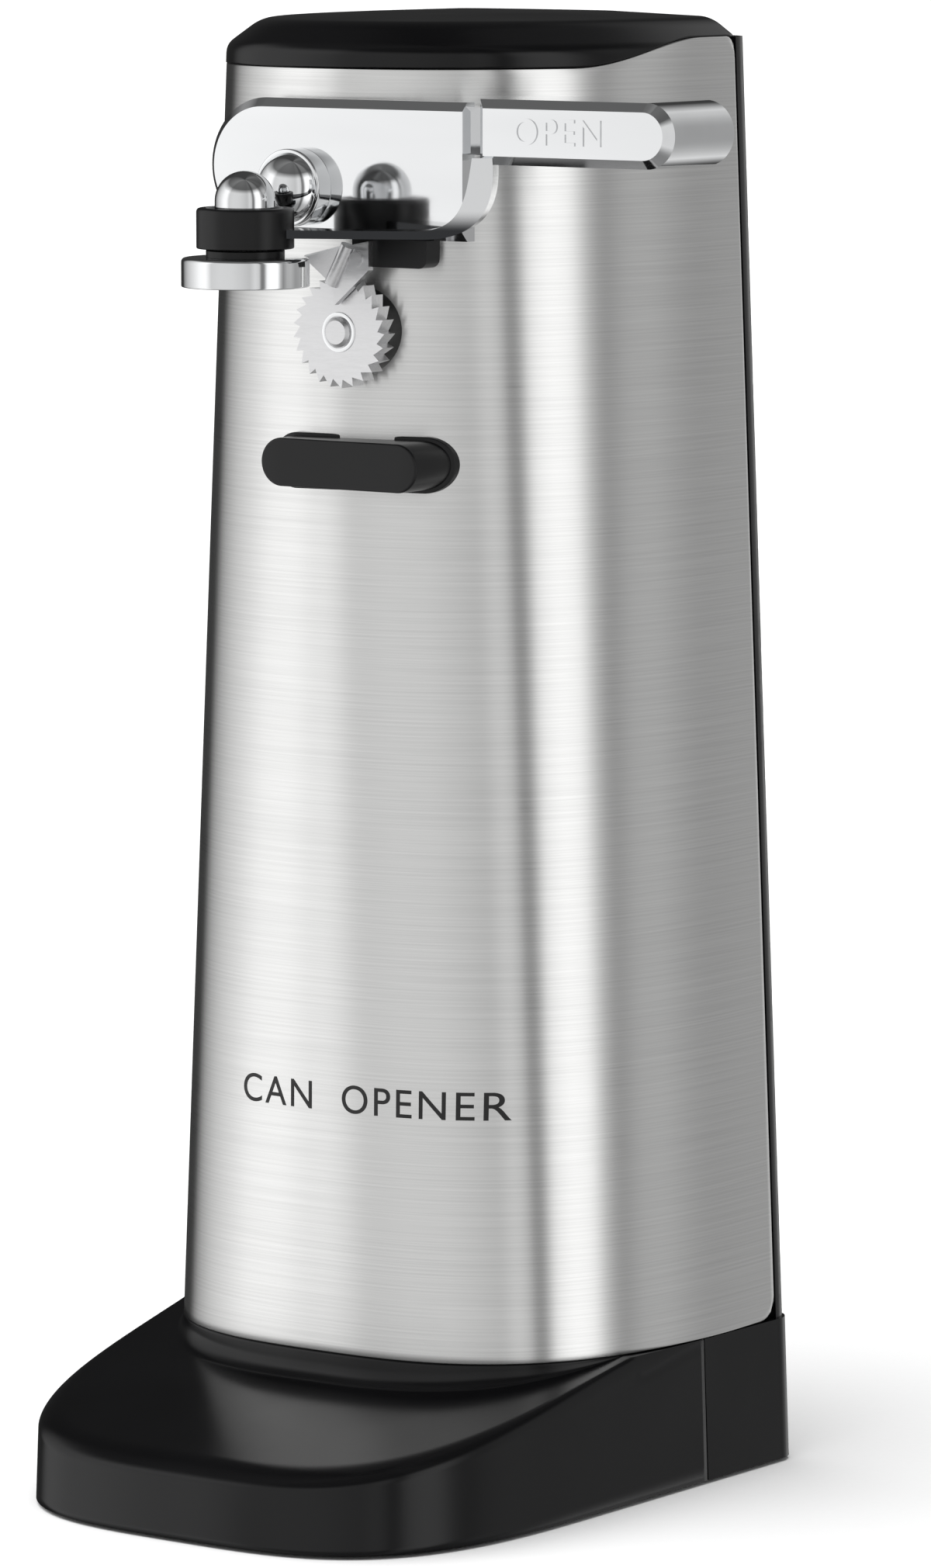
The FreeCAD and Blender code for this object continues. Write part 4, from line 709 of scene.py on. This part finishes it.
def make_top_light(scene, settings):
    """A wide soft lamp above, which lights the floor and leaves no glint on the polished parts."""
    data = bpy.data.lights.new("top_lamp", "SUN")
    data.energy = settings.top_strength
    data.angle = np.radians(75)
    lamp = bpy.data.objects.new("top_lamp", data)
    lamp.rotation_euler = (np.radians(12), np.radians(-10), 0)
    lamp.visible_glossy = False
    scene.collection.objects.link(lamp)


def fill_ramp(ramp, stops):
    """Fills a ramp from (angle in degrees, brightness). Directions run evenly over the whole turn; heights
    run from -90 to 90 and stand at (sin + 1) / 2, as the Z of a direction does."""
    whole = stops[0][0] == -180
    ramp.interpolation = "LINEAR"
    while len(ramp.elements) > 1:
        ramp.elements.remove(ramp.elements[-1])
    for count, (angle, value) in enumerate(stops):
        at = (angle + 180) / 360 if whole else (np.sin(np.radians(angle)) + 1) / 2
        element = ramp.elements[0] if count == 0 else ramp.elements.new(at)
        element.position = at
        element.color = (value, value, value, 1)


class OPENER_OT_finishes(bpy.types.Operator):
    """Makes the materials and gives one to every CAD node"""
    bl_idname = "opener.finishes"
    bl_label = "Finishes"

    def execute(self, context):
        materials.update(make_materials(context.scene))
        for part in frame["record"]["subparts"]:
            node = frame["nodes"][part["node"]]
            # the magnet's arm gets the chrome with the painted reflection on its level strip
            finish = "arm_chrome_painted_reflection" if part["node"] == "magnet_arm" else part["material_slot"]
            node.data.materials.clear()
            node.data.materials.append(materials[finish])
        return {"FINISHED"}


class OPENER_OT_steel_skin(bpy.types.Operator):
    """Builds the brushed steel skin of the housing's front half"""
    bl_idname = "opener.steel_skin"
    bl_label = "Steel skin"

    def execute(self, context):
        """The front outline at even steps, carried from the plinth to the cap line. Near the rear edges
        both ends come in by r - sqrt(r^2 - (r - d)^2) at the distance d from the edge."""
        housing = context.scene.opener_housing
        outline = housing_front(np.linspace(0, np.pi, 4000), np.array(130.0))
        turn = even_steps(outline, 221) * np.pi
        run = np.concatenate([[0], np.cumsum(np.linalg.norm(np.diff(
            housing_front(turn, np.array(130.0)), axis=0), axis=1))])
        corner = housing.steel_corner / MM
        short = np.maximum(corner - np.minimum(run, run[-1] - run), 0)
        cut = corner - np.sqrt(np.maximum(corner ** 2 - short ** 2, 0))
        low = PLINTH_TOP + cut
        high = cap_line(housing_front(turn, np.array(CAP_LINE))[:, 1]) - cut
        share = rounded_share(90)
        z = low + (high - low) * share[:, None]
        points = housing_front(turn[None, :], z)
        uv = np.stack(np.broadcast_arrays(run[None, :], z), axis=-1)
        skin = grid_object("steel_skin", points[:, ::-1], uv_mm=uv[:, ::-1], solid=False)
        thicken(skin, housing.steel_wall, housing.steel_edge)
        finish_piece(skin, materials["steel_skin"], "root", "steel_skin", "steel_wrap")
        return {"FINISHED"}


def rounded_share(count):
    """Shares from 0 to 1 that lie closer together near both ends: half of 1 - cos, mixed with even steps."""
    even = np.linspace(0, 1, count)
    return 0.6 * even + 0.4 * (1 - np.cos(np.pi * even)) / 2


class OPENER_OT_foot(bpy.types.Operator):
    """Builds the moulded foot and plinth in front of the side seam"""
    bl_idname = "opener.foot"
    bl_label = "Foot"

    def execute(self, context):
        """Outer wall with draft, elliptical rim, inclined top, hollow fillet, then the plinth's wall."""
        housing = context.scene.opener_housing
        outer = resample(base_nose(), 241)
        plinth = resample(plinth_outline(), 241)
        run = housing.rim_run / MM
        drop = housing.rim_drop / MM
        ledge = np.linalg.norm(outer - plinth, axis=1) - BASE_DRAFT * 0.6
        run = np.minimum(run, ledge * 0.6)
        drop = np.minimum(drop, ledge * 0.5)
        inward = inward_of(outer)
        wall_top = foot_plane(outer[:, 1]) - drop
        wall_z = BASE_LOW + (wall_top - BASE_LOW) * np.linspace(0, 1, 10)[:, None]
        wall = outer + inward * (BASE_DRAFT * wall_z / PLINTH_TOP)[..., None]
        crest = wall[-1]
        share = (1 - np.cos(np.pi * np.linspace(0, 1, 72))) / 2
        top = crest + (plinth - crest) * share[:, None, None]
        distance = np.linalg.norm(top - crest, axis=-1)
        rest = np.linalg.norm(plinth - top, axis=-1)
        near = np.clip(1 - distance / np.maximum(run, 1e-3), 0, 1)
        top_z = foot_plane(top[..., 1]) - drop * (1 - np.sqrt(np.maximum(1 - near ** 2, 0)))
        rise = BASE_TOP - foot_plane(plinth[:, 1])
        fillet = np.minimum(housing.plinth_fillet / MM, np.maximum(rise * 0.7, 1e-3))
        close = np.clip(1 - rest / fillet, 0, 1)
        top_z = np.minimum(top_z + fillet * (1 - np.sqrt(np.maximum(1 - close ** 2, 0))), BASE_TOP)
        up_z = top_z[-1] + (BASE_TOP - top_z[-1]) * np.linspace(0, 1, 6)[1:, None]
        upright = np.broadcast_to(plinth, (5, *plinth.shape))
        flat = np.concatenate([wall, top, upright])
        z = np.concatenate([wall_z, top_z, up_z])
        points = np.concatenate([flat, z[..., None]], axis=-1)
        foot = grid_object("foot_shell", points[:, ::-1], solid=False)
        thicken(foot, housing.plastic_wall * 0.8)
        finish_piece(foot, materials["black_plastic"], "root", "black_plastic", "front_base")
        return {"FINISHED"}


def plinth_outline():
    """The housing's outline at the plinth's top, from the right seam round the front to the left seam."""
    outline = housing_front(np.linspace(0, np.pi, 4000), np.array(BASE_TOP))[:, :2]
    return outline[outline[:, 1] <= BASE_SEAM_Y]


def inward_of(outline):
    """Unit vectors square to the outline, towards its inside."""
    along = np.gradient(outline, axis=0)
    along /= np.linalg.norm(along, axis=1, keepdims=True)
    return np.stack([along[:, 1], -along[:, 0]], axis=-1)


def foot_plane(y):
    """Height of the foot's inclined top, which stops at the plinth's top."""
    climb = np.tan(np.radians(FOOT_SLOPE_DEG))
    return np.minimum(FOOT_RIM + climb * (y - BASE_WIDE_Y + BASE_REACH), BASE_TOP)


class OPENER_OT_cap(bpy.types.Operator):
    """Builds the black cap on the housing"""
    bl_idname = "opener.cap"
    bl_label = "Cap"

    def execute(self, context):
        """A profile of (inset, height) with rounded shoulder and brow, carried round the whole outline.
        Each column starts where the profile meets the sweeping cap line; the top closes to its middle."""
        housing = context.scene.opener_housing
        radius = housing.cap_round / MM
        profile = rounded(CAP_PROFILE, (radius, radius * 1.5), 12)
        run = np.concatenate([[0], np.cumsum(np.linalg.norm(np.diff(profile, axis=0), axis=1))])
        turn = np.concatenate([even_half(160, False) * np.pi, np.pi + even_half(120, True) * np.pi])
        edge = housing_round(turn, np.full(len(turn), CAP_LINE), np.full(len(turn), -CAP_PROUD))
        start = np.interp(cap_line(edge[:, 1]) + CAP_PROUD, profile[:, 1], run)
        at = start + (run[-1] - start) * np.linspace(0, 1, 90)[:, None]
        inset = np.interp(at, run, profile[:, 0])
        z = np.interp(at, run, profile[:, 1])
        side = housing_round(np.broadcast_to(turn, z.shape), z, inset)
        middle = np.array([0, (EDGE_Y[1] - CAP_PROFILE[-1][0]) / 2, TOTAL_HEIGHT])
        shrink = np.linspace(1, 0, 12)[1:, None, None]
        top = middle + (side[-1] - middle) * shrink
        cap = grid_object("cap_shell", np.concatenate([side, top]), wrap=True)
        thicken(cap, housing.plastic_wall * 0.6)
        finish_piece(cap, materials["black_plastic"], "root", "black_plastic", "top_cap")
        return {"FINISHED"}


def even_half(count, back):
    """Shares of a half turn at even steps along the front or the back half of the cap's outline."""
    turn = np.linspace(0, np.pi, 4000) + (np.pi if back else 0)
    outline = housing_round(turn, np.full(4000, CAP_LINE), np.full(4000, -CAP_PROUD))
    return even_steps(outline, count + 1)[:-1]


class OPENER_OT_guide(bpy.types.Operator):
    """Builds the can guide, the round-ended bar below the wheel, and the wheel's boss"""
    bl_idname = "opener.guide"
    bl_label = "Guide and boss"

    def execute(self, context):
        fittings = context.scene.opener_fittings
        make_guide(fittings)
        make_boss()
        make_wheel_ring(fittings)
        return {"FINISHED"}


def make_guide(fittings):
    """A stadium outline, x = sign(cos) half + r cos and z = r sin, whose r and y follow the side profile.
    The flange stands on the curved skin, so its heights are measured from the skin at each point."""
    centre = np.array(GUIDE_LOW + GUIDE_HIGH) / 2 / MM
    step = fittings.guide_step / MM
    edge = fittings.guide_edge / MM
    radius = (GUIDE_HIGH.z - GUIDE_LOW.z) / 2 / MM - step
    half = (GUIDE_HIGH.x - GUIDE_LOW.x) / 2 / MM - step - radius
    front = GUIDE_LOW.y / MM
    turn = (np.arange(96) + 0.5) / 96 * 2 * np.pi
    face = rounded([(0, front), (radius, front), (radius, front + 3)], edge)
    foot = rounded([(radius, 0.0), (radius + step, 0.0), (radius + step, 2.2)], 0.25)
    reach = np.concatenate([face[:-1, 0], foot[:, 0]])[:, None]
    x = centre[0] + np.sign(np.cos(turn)) * half + reach * np.cos(turn)
    z = centre[2] + reach * np.sin(turn)
    seat = skin_y(x[len(face) - 1:], z[len(face) - 1:]) - fittings.guide_flange / MM + foot[:, 1:]
    y = np.concatenate([np.broadcast_to(face[:-1, 1:], (len(face) - 1, len(turn))), seat])
    guide = grid_object("guide_bar", np.stack([x, y, z], axis=-1), wrap=True, solid=False)
    close_up(guide.data)
    smooth_by_angle(guide)
    finish_piece(guide, materials["black_fittings"], "root", "black_fittings", "guide_post")


def smooth_by_angle(piece, degrees=35):
    """Smooth faces, with every edge sharper than the angle kept crisp."""
    piece.data.polygons.foreach_set("use_smooth", np.ones(len(piece.data.polygons), bool))
    piece.data.set_sharp_from_angle(angle=np.radians(degrees))


def make_boss():
    """The black disc behind the wheel: a turned disc with a rounded front edge, down to the skin."""
    centre = (BOSS_LOW + BOSS_HIGH) / 2
    radius = (BOSS_HIGH.x - BOSS_LOW.x) / 2 / MM
    front = BOSS_LOW.y / MM
    bore = (SHAFT_HIGH.x - SHAFT_LOW.x) / 2 / MM + 0.05
    profile = rounded([(bore, front + 5), (bore, front), (radius, front), (radius, front + 5),
                       (bore, front + 5)], (0.2, 0.7, 0.1))
    turned_piece("boss_disc", profile, centre, "Y", ("black_fittings", "root", "black_fittings"),
                 "wheel_boss", 35)


def make_wheel_ring(fittings):
    """The bright burnished ring that holds the shaft's end in the wheel, turned with rounded edges."""
    inner = (SHAFT_HIGH.x - SHAFT_LOW.x) / 2 / MM + 0.12
    face = WHEEL_LOW.y / MM
    proud = face - fittings.ring_height / MM
    outer = inner + fittings.ring_width / MM
    profile = rounded([(inner, face + 0.3), (inner, proud), (outer, proud), (outer, face + 0.3),
                       (inner, face + 0.3)], (0.1, 0.1, 0.02), 6)
    turned_piece("wheel_ring", profile, (WHEEL_LOW + WHEEL_HIGH) / 2, "Y", ("chrome", "drive", "chrome"),
                 None, 35, 96)


class OPENER_OT_magnet(bpy.types.Operator):
    """Builds the magnet's cup and collar, its black holder and the polished dome"""
    bl_idname = "opener.magnet"
    bl_label = "Magnet"

    def execute(self, context):
        fittings = context.scene.opener_fittings
        centre = (CUP_LOW + CUP_HIGH) / 2
        make_cup(fittings, centre)
        make_holder(fittings, centre)
        make_dome(centre)
        return {"FINISHED"}


def make_cup(fittings, centre):
    """A turned cup, open downwards, with rounded edges, and the collar that stands on it. The collar belongs
    to the chrome cup but is drawn black, as painted shade and dark reflection of the gap between cup and
    holder.
    """
    radius = (CUP_HIGH.x - CUP_LOW.x) / 2 / MM
    wall = fittings.cup_wall / MM
    low = CUP_LOW.z / MM
    high = low + fittings.cup_height / MM
    turned_piece("magnet_cup_shell", rounded([
        (0, high), (radius, high), (radius, low), (radius - wall, low), (radius - wall, high - wall),
        (0, high - wall)], (0.75, 0.25, 0.25, 0.1), 10), centre, "Z", ("chrome", "magnet", "chrome"),
                 "magnet_cup")
    # painted shade: the collar is chrome on the cup, drawn black here for the dark gap between cup and holder
    collar_radius = fittings.collar_radius / MM
    top = CUP_HIGH.z / MM
    turned_piece("magnet_collar_painted_shade", rounded([
        (0, top), (collar_radius, top), (collar_radius, high), (0, high)], (0.2, 0.05), 6), centre, "Z",
                 ("black_fittings", "magnet", "black_fittings"))


def make_holder(fittings, centre):
    """A turned drum with a rounded shoulder, a dished top and a recess below for the cup's collar."""
    radius = (HOLDER_HIGH.x - HOLDER_LOW.x) / 2 / MM
    low = HOLDER_LOW.z / MM
    high = HOLDER_HIGH.z / MM
    recess = low + fittings.collar_recess / MM
    bore = (fittings.collar_radius + fittings.collar_gap) / MM
    turned_piece("magnet_holder_drum", rounded([
        (0, recess), (bore, recess), (bore, low), (radius, low), (radius, high), (radius - 1.6, high),
        (radius - 2.3, high - 0.5), (0, high - 0.5)], (0.1, 0.1, 0.3, 0.7, 0.3, 0.2), 8), centre, "Z",
                 ("black_fittings", "lever", "black_fittings"), "magnet_holder")


def make_dome(centre):
    """The polished head over the holder: a short skirt and a quarter circle turned round the axis."""
    half = (DOME_HIGH.x - DOME_LOW.x) / 2 / MM
    top = DOME_HIGH.z / MM
    foot_z = HOLDER_HIGH.z / MM - DOME_SUNK
    quarter = np.linspace(0, np.pi / 2, 24)
    ball = np.stack([half * np.sin(quarter), top - half + half * np.cos(quarter)], axis=-1)
    foot = np.array([(half, foot_z), (0, foot_z)])
    turned_piece("magnet_dome", np.concatenate([ball, foot]), centre, "Z", ("chrome", "magnet", "chrome"),
                 "dome_rivet")


class OPENER_OT_lever(bpy.types.Operator):
    """Builds the pivot's nut, the word raised on the handle and the word printed on the skin"""
    bl_idname = "opener.lever"
    bl_label = "Lever details"

    def execute(self, context):
        make_knob(context.scene.opener_fittings)
        make_mark(context, context.scene.opener_fittings)
        make_print(context, context.scene.opener_fittings)
        return {"FINISHED"}


def make_knob(fittings):
    """A turned nut: a flange with rounded edge, a step, and a spherical dome in front of it."""
    centre = (KNOB_LOW + KNOB_HIGH) / 2
    radius = (KNOB_HIGH.x - KNOB_LOW.x) / 2 / MM
    front = KNOB_LOW.y / MM
    back = KNOB_HIGH.y / MM
    shoulder = back - fittings.knob_flange / MM
    inner = radius - fittings.knob_step / MM
    ball = ((shoulder - front) ** 2 + inner ** 2) / (2 * (shoulder - front))
    end = np.arcsin(min(1.0, inner / ball))
    sweep = np.linspace(0, np.pi - end if shoulder - front > ball else end, 24)
    cap = np.stack([ball * np.sin(sweep), front + ball * (1 - np.cos(sweep))], axis=-1)
    rim = rounded([(inner, shoulder), (radius, shoulder), (radius, back), (0, back)], (0.5, 0.1), 8)
    turned_piece("pivot_nut", np.concatenate([cap, rim]), centre, "Y", ("chrome", "lever", "chrome"),
                 "pivot_knob")


def word_mesh(context, word, height, depth):
    """A word in the built-in font as a mesh, its middle at the origin, raised by depth both ways."""
    data = bpy.data.curves.new("word", "FONT")
    data.body = word
    data.size = height * 1.38
    data.extrude = depth
    data.align_x = "CENTER"
    data.align_y = "CENTER"
    data.space_character = 1.15
    text = bpy.data.objects.new("word_curve", data)
    context.scene.collection.objects.link(text)
    context.view_layer.update()
    mesh = bpy.data.meshes.new_from_object(text.evaluated_get(context.evaluated_depsgraph_get()))
    bpy.data.objects.remove(text)
    return mesh


def finish_word(context, name, mesh, finish, body, slot):
    """Puts a word's mesh into the scene and gives it its finish and body; the slot is handed on to
    finish_piece, which doesn't use it.
    """
    word = bpy.data.objects.new(name, mesh)
    context.scene.collection.objects.link(word)
    finish_piece(word, materials[finish], body, slot)


def make_print(context, fittings):
    """A plain generic word printed low on the skin: each point goes to the skin's front surface at its
    own place, y = skin_y(x, z), and stands proud of it by its own thickness."""
    mesh = word_mesh(context, "CAN  OPENER", fittings.print_height, 0.03 * MM)
    places = np.zeros(len(mesh.vertices) * 3, np.float32)
    mesh.vertices.foreach_get("co", places)
    places = places.reshape(-1, 3).astype(float)
    x = places[:, 0] + fittings.print_x
    z = places[:, 1] + fittings.print_z
    y = skin_y(x / MM, z / MM) * MM - places[:, 2] - 0.02 * MM
    mesh.vertices.foreach_set("co", np.stack([x, y, z], axis=-1).astype(np.float32).ravel())
    mesh.update()
    finish_word(context, "printed_word", mesh, "print_ink", "root", "black_plastic")


def make_mark(context, fittings):
    """The plain word that tells the user to lift the handle, raised on its front face."""
    mesh = word_mesh(context, "OPEN", fittings.mark_height, fittings.mark_depth)
    middle = Vector((fittings.mark_x, LEVER_LOW.y, fittings.mark_z))
    mesh.transform(Matrix.Translation(middle) @ Matrix.Rotation(np.pi / 2, 4, "X"))
    finish_word(context, "handle_word", mesh, "chrome", "lever", "chrome")


# ---------------------------------------------------------------- panel and registration
class OPENER_PT_panel(bpy.types.Panel):
    """Lists the steps that build the can opener's looks"""
    bl_label = "Can opener"
    bl_idname = "OPENER_PT_panel"
    bl_space_type = "VIEW_3D"
    bl_region_type = "UI"
    bl_category = "Can opener"

    def draw(self, context):
        for operator in OPERATORS:
            self.layout.operator(operator.bl_idname)
        for group in (context.scene.opener_housing, context.scene.opener_fittings,
                      context.scene.opener_stage):
            box = self.layout.box()
            for name in group.bl_rna.properties.keys():
                if name not in ("rna_type", "name"):
                    box.prop(group, name)


OPERATORS = (OPENER_OT_stage, OPENER_OT_finishes, OPENER_OT_steel_skin, OPENER_OT_foot, OPENER_OT_cap,
             OPENER_OT_guide, OPENER_OT_magnet, OPENER_OT_lever)
GROUPS = {"opener_housing": HousingSettings, "opener_fittings": FittingSettings,
          "opener_stage": StageSettings}


def register():
    for group in GROUPS.values():
        bpy.utils.register_class(group)
    for operator in OPERATORS:
        bpy.utils.register_class(operator)
    bpy.utils.register_class(OPENER_PT_panel)
    for name, group in GROUPS.items():
        setattr(bpy.types.Scene, name, bpy.props.PointerProperty(type=group))


def unregister():
    for name in GROUPS:
        delattr(bpy.types.Scene, name)
    bpy.utils.unregister_class(OPENER_PT_panel)
    for operator in reversed(OPERATORS):
        bpy.utils.unregister_class(operator)
    for group in GROUPS.values():
        bpy.utils.unregister_class(group)


def main():
    register()
    for operator in OPERATORS:
        category, name = operator.bl_idname.split(".")
        getattr(getattr(bpy.ops, category), name)()


if __name__ == "__main__":
    main()
